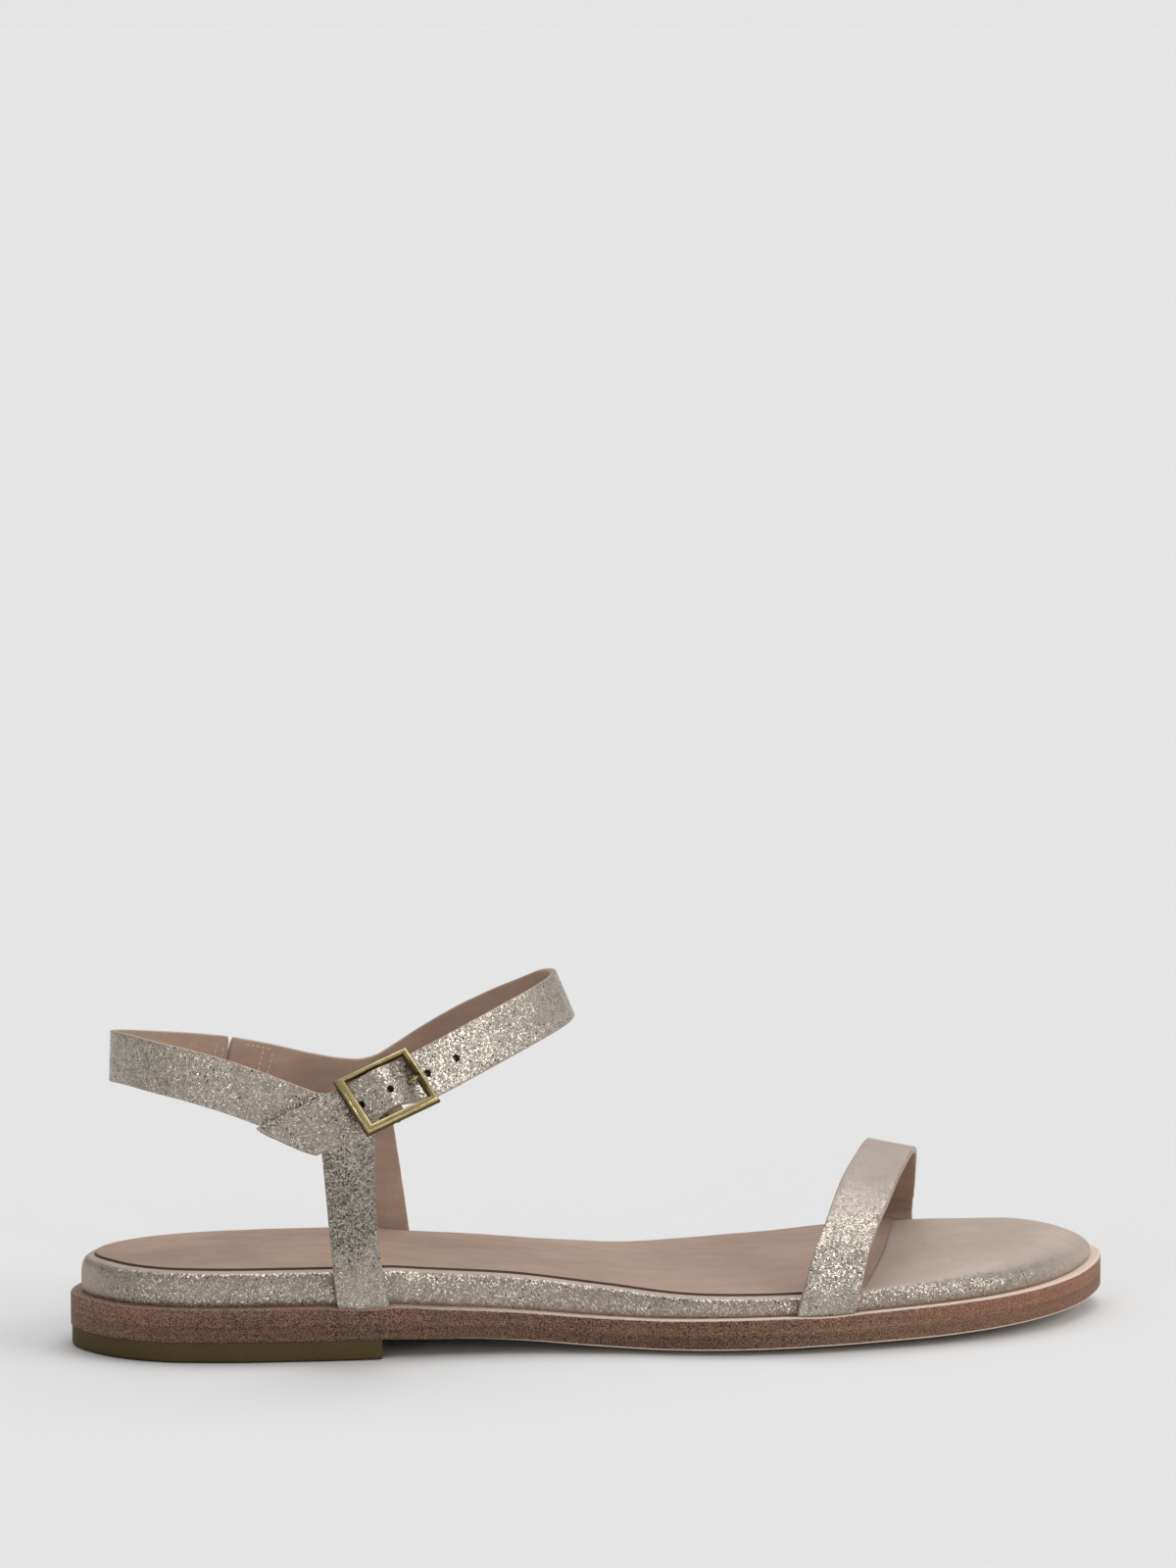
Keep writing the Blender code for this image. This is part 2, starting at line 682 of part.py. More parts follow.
def build_insole(parts, cutters, finish):
    sock = new_object("insole", sole_layer("insole", sock_bottom, sock_top, SOCK_EDGE), parts, finish)
    (x0, y0), (x1, y1) = SOCK_FRONT
    size = 160.0
    turn = math.atan2(x0 - x1, y1 - y0)
    ahead = np.array([math.cos(turn), math.sin(turn)]) * size / 2
    placement = Matrix.Translation(((x0 + x1) / 2 * MM + ahead[0] * MM, (y0 + y1) / 2 * MM + ahead[1] * MM, 0.0))
    ahead_of_sock = box("ahead_of_sock", (size, size, size), placement @ Matrix.Rotation(turn, 4, "Z"), cutters)
    cut(sock, cutter(ahead_of_sock, cutters))
    return sock


def build_ankle_strap(parts, cutters, finish):
    made = quarter("medial_quarter", ankle_strap_rows(), "medial", parts, finish)
    path = Path(ANKLE_STRAP)
    lengths = np.linspace(0.0, path.length / 2, 4000)
    centre = path.at(lengths)[:, :3]
    start = lengths[np.argmin(np.linalg.norm(centre - BUCKLE_MIDDLE, axis=1))]
    for number, offset in enumerate(HOLES_FROM_BUCKLE, 1):
        middle, along, across, normal = strap_frame(path, np.array([start + offset]))
        axes = np.eye(4)
        axes[:3, 0], axes[:3, 1], axes[:3, 2] = along[0], across[0], normal[0]
        axes[:3, 3] = (middle[0] + hump(middle)[0] * normal[0] - normal[0] * STRAP_THICKNESS / 2) * MM
        punch = rod(f"strap_hole_{number}", HOLE_DIAMETER / 2, 3 * STRAP_THICKNESS, Matrix(axes.tolist()), cutters)
        cut(made, cutter(punch, cutters))
    shaft = [at_buckle(a, 0, n) for a, n in prong_line()[-3:]]
    prong_hole = wire("prong_hole", shaft, PRONG_RADIUS + GAP, cutters)
    cut(made, cutter(as_mesh(prong_hole, cutters), cutters))
    return made


def build_heel_strap(parts, cutters, finish):
    made = quarter("lateral_quarter", heel_strap_rows(), "lateral", parts, finish)
    slot_size = (TAB_SLOT[1] - TAB_SLOT[0], 2 * (PRONG_RADIUS + GAP) + GAP, SLOT_DEPTH)
    slot = box("tab_slot", slot_size, buckle_matrix(sum(TAB_SLOT) / 2, 0, -CENTRE_BAR_DROP), cutters)
    cut(made, cutter(slot, cutters))
    return made


def build_buckle(parts, cutters, finish):
    frame = box("buckle_frame", (FRAME_LENGTH, FRAME_HEIGHT, FRAME_BAR), buckle_matrix(0, 0, BAR_LEVEL), parts)
    frame.data.materials.append(finish)
    inner = (FRAME_LENGTH - 2 * FRAME_BAR, FRAME_HEIGHT - 2 * FRAME_BAR, 3 * FRAME_BAR)
    cut(frame, cutter(box("frame_opening", inner, buckle_matrix(0, 0, BAR_LEVEL), cutters), cutters))
    rounding = frame.modifiers.new("rounding", "BEVEL")
    rounding.width = FRAME_ROUNDING * MM
    rounding.segments = 2
    rounding.limit_method = "ANGLE"
    leg = FRAME_HEIGHT / 2 - FRAME_BAR + CENTRE_BAR_RADIUS - 0.1
    line = [(leg, BAR_LEVEL), (leg, -CENTRE_BAR_DROP), (-leg, -CENTRE_BAR_DROP), (-leg, BAR_LEVEL)]
    reach = CENTRE_BAR_RADIUS
    bent = [line[0], (leg, reach - CENTRE_BAR_DROP), (leg - reach, -CENTRE_BAR_DROP)]
    bent += [(reach - leg, -CENTRE_BAR_DROP), (-leg, reach - CENTRE_BAR_DROP), line[3]]
    bar = wire("centre_bar", [at_buckle(0, b, n) for b, n in bent], CENTRE_BAR_RADIUS, cutters)
    cut(frame, cutter(as_mesh(bar, cutters), cutters), "UNION")
    return frame


def build_prong(parts, finish):
    return wire("buckle_prong", [at_buckle(a, 0, n) for a, n in prong_line()], PRONG_RADIUS, parts, finish)


def build():
    for old in list(bpy.data.objects):
        bpy.data.objects.remove(old)
    scene = bpy.context.scene
    parts = bpy.data.collections.new("ankle_strap_sandal")
    cutters = bpy.data.collections.new("cutters")
    scene.collection.children.link(parts)
    scene.collection.children.link(cutters)

    metallic_leather = material("metallic_leather", (0.52, 0.46, 0.38), 0.45, 0.3)
    burnished_leather = material("burnished_leather", (0.22, 0.12, 0.075), 0.5)
    natural_leather = material("natural_leather", (0.36, 0.22, 0.15), 0.55)
    sock_leather = material("sock_leather", (0.35, 0.24, 0.18), 0.6)
    heel_rubber = material("heel_rubber", (0.075, 0.06, 0.028), 0.6)
    brass = material("antique_brass", (0.34, 0.26, 0.11), 0.35, 1.0)

    build_heel_lift(parts, heel_rubber)
    layers = (
        ("outsole", underside, outsole_top, LEATHER_EDGE, burnished_leather),
        ("midsole", midsole_bottom, midsole_top, LEATHER_EDGE, natural_leather),
        ("footbed", footbed_bottom, footbed_top, FOOTBED_EDGE, metallic_leather),
    )
    for name, bottom, top, edge, finish in layers:
        new_object(name, sole_layer(name, bottom, top, edge), parts, finish)
    build_insole(parts, cutters, sock_leather)
    points = []
    grid = add_rows(points, toe_strap_rows())
    above = points[0] - np.array([0.0, FAR_AWAY, 0.0])
    strap_object("toe_strap", points, sheet_faces(grid), above, parts, metallic_leather)
    build_heel_strap(parts, cutters, metallic_leather)
    build_ankle_strap(parts, cutters, metallic_leather)
    build_buckle(parts, cutters, brass)
    build_prong(parts, brass)


build()
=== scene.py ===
"""Looks of the flat ankle-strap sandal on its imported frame: foil leather, lining, burnished sole edges,
antique brass and studio light.

Sizes are in millimetres unless a comment says otherwise. +X runs from heel to toe, +Y to the medial side,
and the sole stands on Z = 0.
"""

import math

import bmesh
import bpy
import numpy as np
from mathutils import Matrix


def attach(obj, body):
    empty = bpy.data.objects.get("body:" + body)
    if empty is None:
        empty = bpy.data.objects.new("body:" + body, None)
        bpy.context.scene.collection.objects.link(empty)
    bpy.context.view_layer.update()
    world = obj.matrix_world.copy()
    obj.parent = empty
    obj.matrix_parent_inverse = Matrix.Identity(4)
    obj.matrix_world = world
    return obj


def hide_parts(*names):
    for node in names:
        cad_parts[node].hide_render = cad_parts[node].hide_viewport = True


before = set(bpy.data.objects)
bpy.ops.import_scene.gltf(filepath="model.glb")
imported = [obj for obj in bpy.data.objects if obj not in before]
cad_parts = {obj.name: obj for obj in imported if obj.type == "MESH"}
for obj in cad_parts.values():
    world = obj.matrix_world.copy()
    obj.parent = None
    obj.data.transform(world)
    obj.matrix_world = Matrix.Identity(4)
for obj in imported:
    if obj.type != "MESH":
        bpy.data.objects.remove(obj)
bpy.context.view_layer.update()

MM = 0.001

# Driving dimensions: those of the part's source, a few of them fitted more closely to the photograph
HEEL_END = -128.0
TOE_TIP = (128.0, 8.6)
GAP = 0.3
HEEL_HEIGHT = 4.9
HEEL_BREAST = -57.6
HEEL_INSET = 0.3
HEEL_CORNER = 1.2
HEEL_CORNER_SPARE = 0.2
HEEL_TOP_GAP = 0.02
LAYER = 3.85
SOLE_THICKNESS = 2 * LAYER + GAP
FLAT_SHARE = 0.5
FOOTBED_INSET = 2.6
SOCK_INSET = 5.8
SOCK_FRONT = ((59.0, -34.0), (82.0, 37.0))
STRAP_WIDTH = 12.0
STRAP_THICKNESS = 1.6
STAND_OFF = FOOTBED_INSET - GAP - STRAP_THICKNESS
LEDGE_SHARE = 0.95
FOOT_SUNK = 0.1
CLEAR_OF_FOOTBED = 1.5
TAB_WIDTH = 11.0
HOLE_DIAMETER = 2.0
HOLE_NECK_RADIUS = HOLE_DIAMETER / 5
HOLES_FROM_BUCKLE = (-6.6, 0.8, 11.9, 20.5)
FRAME_LENGTH = 19.2
FRAME_HEIGHT = 15.4
FRAME_BAR = 1.7
CENTRE_BAR_RADIUS = 0.6
CENTRE_BAR_DROP = 1.8
STRAP_HUMP = 2.6
HUMP_HALF_SPAN = 8.0
PINCH_HALF_SPAN = 14.0
PINCH_BELOW = 1.8
PINCH_ABOVE = 0.1
PRONG_RADIUS = 0.5
PRONG_TURN = (-20.0, -243.0)
PRONG_SHAFT = ((2.0, -0.7), (4.4, -1.35), (5.9, -0.9), (6.9, 0.45), (7.8, 1.45), (8.7, 1.65))
PRONG_TIP = (0.96, 0.85, 0.6)
PRONG_HOLE_SPARE = 0.12
TAB_SLOT = (-2.3, 3.1)
SLOT_DEPTH = 8.0
BUCKLE_X = -58.0

# Mesh fineness, in counts unless it is a length
SOLE_STATIONS = 110
SOLE_COLUMNS = 14
END_CROWDING = 0.55
STRAP_COLUMNS = 8
STRAP_EDGES = np.linspace(-1.0, 1.0, STRAP_COLUMNS + 1)
STRAP_STEP = 1.0
PROBE = 0.5
TOE_STRAP_SECTIONS = 100
RISER_ROWS = 36
PRONG_TURN_STEPS = 24
PRONG_SHAFT_STEPS = 40
PRONG_HOLE_STEPS = 30
HEEL_CORNER_STEPS = 7
BUCKLE_SEARCH_STEPS = 2000
HOLE_SEARCH_STEPS = 4000
ROD_SIDES = 32
TUBE_SIDES = 12
PRONG_SIDES = 16

# Rounding of the straps' edges, the angle from which an edge is shaded sharp, a direction that no bar runs in
EDGE_ROUNDING = 0.4
EDGE_ROUNDING_STEPS = 3
EDGE_ROUNDING_ANGLE = math.radians(60)
SHARP_ANGLE = math.radians(40)
OFF_ALL_BARS = (0.3, 0.5, 0.81)

# Sole outline: station along the shoe, half width on the lateral side, half width on the medial side
OUTLINE = (
    (-120.0, 17.5, 17.5),
    (-110.0, 25.0, 25.0),
    (-100.0, 28.2, 28.6),
    (-80.0, 31.0, 30.5),
    (-60.0, 32.2, 29.6),
    (-40.0, 31.6, 28.4),
    (-20.0, 32.4, 29.2),
    (0.0, 36.8, 33.2),
    (20.0, 43.0, 38.2),
    (40.0, 45.2, 42.4),
    (60.0, 43.6, 43.8),
    (80.0, 39.6, 42.8),
    (95.0, 34.2, 40.8),
    (107.0, 26.6, 36.2),
    (115.5, 18.2, 31.4),
    (121.6, 9.4, 25.4),
    (125.6, 1.6, 18.4),
)

# Underside of the sole: station, height on the centre line, how far the edges rise above it
UNDERSIDE = (
    (-128.0, HEEL_HEIGHT, 0.0),
    (HEEL_BREAST, HEEL_HEIGHT, 0.0),
    (-46.0, 4.0, 0.0),
    (-29.0, 2.8, 0.2),
    (-5.0, 0.7, 0.6),
    (10.0, 0.0, 0.8),
    (30.0, 0.0, 1.0),
    (48.0, 0.0, 1.3),
    (67.0, 0.4, 1.4),
    (80.0, 0.8, 1.3),
    (93.0, 1.5, 1.0),
    (107.0, 2.5, 0.6),
    (121.0, 3.8, 0.1),
    (128.0, 4.7, 0.0),
)

# How much further the outsole's rim curls up: station, height
RIM_CURL = (
    (-128.0, 0.0),
    (-54.0, 0.0),
    (-46.0, 0.45),
    (-36.0, 0.8),
    (-20.0, 0.7),
    (0.0, 0.5),
    (25.0, 0.45),
    (50.0, 0.5),
    (77.0, 0.2),
    (102.0, 0.3),
    (128.0, 0.3),
)
CURL_FROM_SHARE = 0.55

# Footbed: station, height of its shoulder above the ledge of the sole, crown of its top
FOOTBED = (
    (-128.0, 7.9, 1.0),
    (-53.0, 7.9, 1.0),
    (-28.0, 7.4, 1.0),
    (-4.0, 6.1, 1.0),
    (19.0, 4.3, 1.0),
    (43.0, 4.0, 1.0),
    (66.0, 4.8, 1.0),
    (93.0, 6.2, 1.4),
    (107.0, 6.2, 1.6),
    (117.0, 5.3, 1.6),
    (128.0, 4.2, 1.4),
)

# Edge profiles from bottom to top: inset from the layer's outline, share of the layer's height, wear
OUTSOLE_EDGE = (
    (0.5, 0.0, 0.6),
    (0.15, 0.02, 1.0),
    (0.03, 0.05, 1.0),
    (0.0, 0.08, 0.8),
    (0.0, 0.13, 0.0),
    (0.0, 0.35, 0.0),
    (0.0, 0.6, 0.0),
    (0.0, 0.85, 0.0),
    (0.0, 0.95, 0.1),
    (0.06, 1.0, 0.2),
)
MIDSOLE_EDGE = (
    (0.06, 0.0, 0.2),
    (0.0, 0.05, 0.1),
    (0.0, 0.2, 0.0),
    (0.0, 0.5, 0.0),
    (0.0, 0.8, 0.0),
    (0.03, 0.89, 0.4),
    (0.12, 0.95, 0.9),
    (0.3, 0.985, 1.0),
    (0.6, 1.0, 1.0),
)
FOOTBED_EDGE = (
    (0.6, 0.0, 0.0),
    (0.2, 0.06, 0.5),
    (0.04, 0.16, 0.8),
    (0.0, 0.32, 0.8),
    (0.0, 0.5, 0.4),
    (0.06, 0.63, 0.1),
    (0.2, 0.75, 0.0),
    (0.45, 0.85, 0.3),
    (0.85, 0.925, 1.0),
    (1.4, 0.97, 1.0),
    (2.1, 0.995, 0.4),
    (3.2, 1.0, 0.0),
)
FOOTBED_TOE_EDGE = (
    (0.6, 0.0, 0.0),
    (0.15, 0.06, 0.0),
    (0.0, 0.15, 0.0),
    (0.05, 0.26, 0.0),
    (0.3, 0.38, 0.3),
    (0.8, 0.5, 0.6),
    (1.6, 0.61, 0.4),
    (2.7, 0.72, 0.0),
    (4.2, 0.82, 0.0),
    (6.2, 0.91, 0.0),
    (8.6, 0.97, 0.0),
    (11.5, 1.0, 0.0),
)
# Stations between which the footbed's edge eases into its toe profile
SOFT_TOE = (62.0, 104.0)
SOCK_EDGE = (
    (0.0, 0.0, 1.0),
    (0.0, 0.72, 1.0),
    (0.1, 0.92, 0.8),
    (0.4, 1.0, 0.0),
)
# Sock: how far it is sunk in the footbed and stands proud of it, bow of its front edge, tool that trims it
SOCK_SUNK = 0.2
SOCK_PROUD = 0.6
SOCK_BULGE = 1.4
SOCK_CUT_SPAN = (-0.4, 1.4)
SOCK_CUT_STEPS = 60
SOCK_CUT_REACH = 120.0
SOCK_CUT_HEIGHT = 60.0

# Edge of the heel lift from bottom to top: inset, height, and how much darker the rubber is there, darkest at
# the lower rim
HEEL_EDGE = (
    (0.8, 0.0, 1.0),
    (0.35, 0.12, 1.0),
    (0.1, 0.38, 0.7),
    (0.0, 0.8, 0.1),
    (0.0, 2.4, 0.0),
    (0.0, HEEL_HEIGHT - HEEL_TOP_GAP, 0.0),
)

# Wear along the shoe, straight between stations: the outsole's lower rim is hardly rubbed over the heel lift,
# and the ledge is palest round the toe
EVEN_WEAR = ((0.0, 1.0),)
BOTTOM_WEAR = ((-50.0, 0.35), (0.0, 1.0))
LEDGE_WEAR = ((-75.0, 0.42), (15.0, 1.0))

# Dents of the ledge under the straps and along the waist: side of the shoe, station, half length, depth
LEDGE_DENTS = (
    (-1, -62.1, 10.0, 0.8),
    (-1, -12.0, 46.0, 0.45),
    (-1, 47.0, 11.0, 0.4),
    (1, -46.8, 10.0, 0.6),
    (1, 82.8, 10.0, 0.4),
)
DENT_FROM_SHARE = 0.78

# Heel strap, from the slit on the medial side round the heel to the lateral riser: centre line and lean
HEEL_STRAP = (
    (-87.2, 26.87, 63.46, 2.0),
    (-94.8, 24.5, 64.7, 2.0),
    (-107.1, 17.9, 66.7, 2.0),
    (-115.3, 9.2, 68.5, 2.0),
    (-118.3, 0.0, 69.7, 2.0),
    (-115.3, -11.6, 70.3, 2.0),
    (-111.4, -18.2, 69.9, 2.0),
    (-101.1, -26.2, 68.0, 3.0),
    (-94.6, -29.2, 66.2, 4.0),
    (-88.0, -31.8, 64.0, 5.0),
    (-80.0, -34.0, 61.0, 8.0),
    (-74.4, -35.4, 59.2, 12.0),
    (-70.0, -36.6, 59.1, 17.0),
)

# Ankle strap, from the lateral tail over the instep to the slit on the medial side: centre line and lean
ANKLE_STRAP = (
    (-87.0, -39.4, 52.2, 19.0),
    (-78.0, -39.8, 56.4, 20.0),
    (-66.5, -39.2, 61.5, 25.0),
    (-57.6, -37.6, 65.1, 28.0),
    (-49.5, -34.9, 68.0, 27.0),
    (-44.0, -32.6, 70.1, 25.0),
    (-33.9, -27.9, 74.0, 23.0),
    (-23.2, -21.2, 77.8, 22.0),
    (-15.0, -14.4, 80.4, 22.0),
    (-9.8, -7.0, 81.8, 23.0),
    (-8.1, 0.0, 82.1, 23.0),
    (-9.4, 7.0, 81.2, 22.0),
    (-13.2, 14.8, 78.2, 19.0),
    (-18.0, 20.6, 75.2, 16.0),
    (-26.6, 26.6, 70.1, 11.0),
    (-35.7, 30.2, 64.3, 7.0),
    (-42.0, 31.6, 60.1, 5.0),
    (-46.8, 32.1, 57.4, 4.0),
    (-52.5, 32.2, 56.1, 3.0),
    (-58.5, 31.8, 56.5, 3.0),
    (-66.0, 31.0, 58.0, 2.0),
    (-76.0, 29.6, 60.7, 2.0),
    (-87.0, 26.94, 63.42, 2.0),
)
# Cut of the tail and of the strap ends at the slit, and the share of the half width where their corners begin
TAIL_SLANT = 10.0
TAIL_SLANT_FADE = 24.0
TAIL_ROUNDING = 0.65
CORNER_FROM = 0.5
SLIT_ROUNDING = 0.5
SLIT_SPREAD = 0.25
SLIT_ROUNDING_FADE = 6.0

# Risers: side of the shoe, back and front at the ledge, back and front where the strap above takes over,
# waist of the front edge
RISERS = {
    "lateral": (-1, -68.4, -55.8, -74.1, -59.7, 1.4),
    "medial": (1, -53.0, -40.6, -57.4, -44.4, 0.0),
}
RISER_UPRIGHT = 0.45
RISER_EASE = 0.3
WAIST_FULLNESS = 0.6

# Buckle tab behind the centre bar: distance along the strap, drop below the strap's inner face, then its turn
# round the bar in degrees
TAB_LINE = ((-8.5, 0.9), (-5.0, 0.6), (-2.2, 0.7))
TAB_TURN = np.arange(-90.0, 151.0, 15.0)

# Toe strap: rear edge and front edge of each section, from the lateral side over the crest to the medial side
TOE_STRAP = (
    (44.7, -38.7, 23.0, 58.8, -37.8, 23.5),
    (48.6, -32.2, 28.1, 62.4, -31.6, 28.3),
    (53.1, -23.0, 33.1, 67.4, -22.4, 33.0),
    (57.7, -13.6, 37.3, 72.2, -12.4, 36.8),
    (62.4, -5.0, 40.2, 76.2, -3.6, 38.6),
    (66.4, 3.2, 41.8, 79.4, 4.2, 39.4),
    (69.8, 12.0, 41.6, 82.2, 12.4, 38.9),
    (72.8, 21.6, 39.0, 84.8, 21.4, 36.2),
    (74.9, 31.0, 33.2, 86.7, 30.0, 30.8),
    (76.0, 38.0, 25.6, 87.9, 36.6, 24.4),
)
# Legs of the toe strap: side of the shoe, rear and front at the ledge, rear and front above the footbed
TOE_STRAP_LEGS = ((-1, 39.9, 54.1, 41.2, 55.6), (1, 76.8, 88.8, 76.5, 88.5))

# Creases of the straps: distance up from the foot of the riser or of the toe strap's medial leg, slant,
# half width, depth, and the direction in which the toe strap is pressed
RISER_CREASES = {
    "lateral": ((31.0, 1.0, 2.2, -0.15), (36.0, 1.6, 1.8, -0.12)),
    "medial": (
        (9.5, 1.2, 1.1, 0.14),
        (12.6, 0.8, 1.0, -0.12),
        (15.4, 1.4, 1.2, 0.14),
        (19.5, 2.0, 1.5, -0.12),
        (30.0, 2.4, 2.0, 0.15),
    ),
}
TOE_STRAP_CREASES = (
    (7.6, 0.5, 0.7, 0.25),
    (9.6, 0.7, 0.7, -0.22),
    (11.6, 0.4, 0.8, 0.25),
    (13.8, 0.8, 0.8, -0.22),
    (16.2, 0.5, 1.0, 0.2),
)
TOE_STRAP_PRESS = (0.0, 1.0, 0.15)

# Buckle bars as the eye sees them: width of the rear, front, lower and upper bars, then the profile from the
# outer edge over the crest to the inner edge: share of the width, share of the height, wear
REAR_BAR, FRONT_BAR, LOWER_BAR, UPPER_BAR = 2.6, 1.9, 2.2, 1.4
FRAME_TILT = math.radians(13.0)
FRAME_SPARE = 0.6
FRAME_LIFT = 0.6
BAR_PROFILE = (
    (0.0, 0.0, 0.0),
    (0.0, 0.3, 0.05),
    (0.03, 0.52, 0.2),
    (0.1, 0.72, 0.5),
    (0.2, 0.87, 0.85),
    (0.34, 0.97, 0.75),
    (0.5, 1.0, 0.6),
    (0.66, 0.97, 0.75),
    (0.8, 0.87, 0.6),
    (0.9, 0.72, 0.3),
    (0.97, 0.52, 0.1),
    (1.0, 0.3, 0.0),
    (1.0, 0.0, 0.0),
)
CENTRE_BAR_WEAR = 0.1
PRONG_WEAR = 0.8
NOTCH_RADIUS = 1.05
NOTCH_LENGTH = 1.7
NOTCH_BACK = 0.05

# Rows of stitches on the lining beside the slit: distance from the slit along the strap, lowest and highest
# share of the half width
HEEL_STITCHES = ((1.5, -0.1, 0.75), (3.4, -0.2, 0.8))
ANKLE_STITCHES = ((8.6, -0.65, 0.85), (11.2, -0.7, 0.88))
# The row along the top of the lining: first and last distance from the slit, share of the half width
TOP_STITCHES = (3.8, 10.8, 0.8)
STITCH_LENGTH = 1.0
STITCH_PITCH = 1.4
STITCH_RADIUS = 0.2
STITCH_STEPS = 7
STITCH_SIDES = 8
STITCH_DIP = 1.2 * STITCH_RADIUS
STITCH_TAPER = 0.8
STITCH_BED = STRAP_THICKNESS - 0.02

# Camera: tilt and turn about the shoe in degrees, distance, the photograph's pixels per millimetre at the
# target, the target's pixel, and the clipping range in metres
CAMERA_TILT = 10.3
CAMERA_TURN = 11.0
CAMERA_DISTANCE = 1600.0
CAMERA_SCALE = 4.209
CAMERA_TARGET = (0.0, 0.0, 35.0)
TARGET_PIXEL = (609.7, 1206.7)
PHOTO_SIZE = (1200, 1600)
SENSOR = 36.0
CLIP_START, CLIP_END = 0.05, 300.0

# Half the floor's width in metres
FLOOR_HALF = 60.0

# Studio: radiance of the sky at the horizon, above it and overhead, of the dim room behind the camera, and of
# its soft boxes, each with its direction, radius in degrees and radiance. Rises are heights on a unit sphere.
SKY_LOW, SKY_SIDE, SKY_HIGH, ROOM = 0.776, 0.36, 1.16, 0.26
LOW_RISE, HIGH_RISE = (0.01, 0.12), (0.5, 0.9)
ROOM_AXIS = (-0.5, -0.85, 0.15)
ROOM_RIM, ROOM_RISE = (0.0, 0.4), (0.0, 0.03)
SOFT_BOX_RIM = 1.0
SOFT_BOXES = (
    ((-0.62, -0.75, 0.2), 2.5, 22.0),
    ((0.5, -0.85, 0.3), 2.5, 15.0),
    ((-0.2, -0.9, 0.45), 2.5, 8.0),
    ((0.05, -0.42, 0.9), 4.0, 3.0),
    ((0.19, 0.4, 0.9), 20.0, 1.8),
    ((0.12, -0.96, 0.2), 12.0, 1.5),
    ((0.86, 0.45, 0.26), 18.0, 0.35),
    ((-0.55, -0.6, 0.6), 3.0, 11.0),
    ((0.76, -0.38, 0.51), 15.0, 4.0),
)

# Foil: its darkest and brightest flecks and its specks in linear colour, how far the flecks are swayed in
# metres, and the leather under it on the straps and on the footbed
FOIL_DARK, FOIL_BRIGHT, FOIL_SPECK = (0.245, 0.214, 0.176), (0.66, 0.61, 0.52), (0.035, 0.03, 0.026)
FLECK_SWAY = (0.0005,) * 3
HALF = (0.5,) * 3
# The settings deep, matt_up, matt_back and shaded paint light and shade by facing, as foil_leather says.
STRAP_FOIL = {
    "matt": (0.44, 0.36, 0.312),
    "deep": 0.22,
    "bare": 0.28,
    "matt_up": (0.855, 0.955),
    "matt_back": 0.0,
    "shaded": 1.0,
}
FOOTBED_FOIL = {
    "matt": (0.515, 0.41, 0.347),
    "deep": 0.8,
    "bare": 0.53,
    "matt_up": (0.78, 0.97),
    "matt_back": 0.75,
    "shaded": 0.0,
}

# Smooth leathers: dark and light tone, roughness, and the tone of a worn edge
LEATHERS = {
    "lining_leather": ((0.308, 0.2, 0.143), (0.438, 0.294, 0.21), 0.4),
    "turned_edge": ((0.36, 0.27, 0.21), (0.48, 0.38, 0.3), 0.6),
    "raw_edge": ((0.03, 0.018, 0.013), (0.055, 0.034, 0.024), 0.8),
    "skived_edge": ((0.2, 0.125, 0.09), (0.26, 0.165, 0.12), 0.7),
    "sock_leather": ((0.37, 0.25, 0.182), (0.465, 0.317, 0.232), 0.58, (0.07, 0.04, 0.028)),
}

# Leathers of the sole's edge: dark and light fibres and pale wear, then tints towards the toe, the waist and
# the heel with the stations in metres between which they come in. The toe's tint is partly the leather's
# warmer colour and partly painted light, brightening the toe's edge.
SOLE_LEATHERS = {
    "burnished_leather": ((0.027, 0.012, 0.008), (0.265, 0.158, 0.1), (0.74, 0.61, 0.5)),
    "natural_leather": ((0.045, 0.018, 0.01), (0.365, 0.205, 0.126), (0.76, 0.6, 0.485)),
}
EDGE_TINTS = (
    (0.03, 0.12, (1.2, 1.0, 0.92)),
    (0.06, 0.01, (0.84, 0.78, 0.74)),
    (-0.1, -0.128, (1.35, 1.35, 1.4)),
)


def ramp(value, start, end):
    """0 up to the start, 1 from the end on, and a straight climb between them."""
    return np.clip((value - start) / (end - start), 0, 1)


def swell(distance, half_span):
    """1 at no distance, easing to 0 a half span away."""
    return np.cos(ramp(np.abs(distance), 0, half_span) * math.pi / 2) ** 2


def hermite(knots, values, slopes, at):
    """A cubic through the values with the given slopes, read at some places along its knots."""
    cell = np.clip(np.searchsorted(knots, at, side="right") - 1, 0, len(knots) - 2)
    span = (knots[cell + 1] - knots[cell])[:, None]
    t = (at - knots[cell])[:, None] / span
    start = (1 + 2 * t) * (1 - t) ** 2 * values[cell] + t * (1 - t) ** 2 * span * slopes[cell]
    end = t**2 * (3 - 2 * t) * values[cell + 1] + t**2 * (t - 1) * span * slopes[cell + 1]
    return start + end


def table_at(table, at):
    """The columns of a table as smooth functions of its first column, with no overshoot between rows."""
    rows = np.array(table, float)
    knots, values = rows[:, 0], rows[:, 1:]
    secants = np.diff(values, axis=0) / np.diff(knots)[:, None]
    slopes = np.vstack([secants[:1], np.zeros_like(secants[1:]), secants[-1:]])
    before, after = secants[:-1], secants[1:]
    rising = before * after > 0
    total = np.where(rising, before + after, 1.0)
    slopes[1:-1] = np.where(rising, 2 * before * after / total, 0.0)
    return hermite(knots, values, slopes, np.clip(at, knots[0], knots[-1])).T


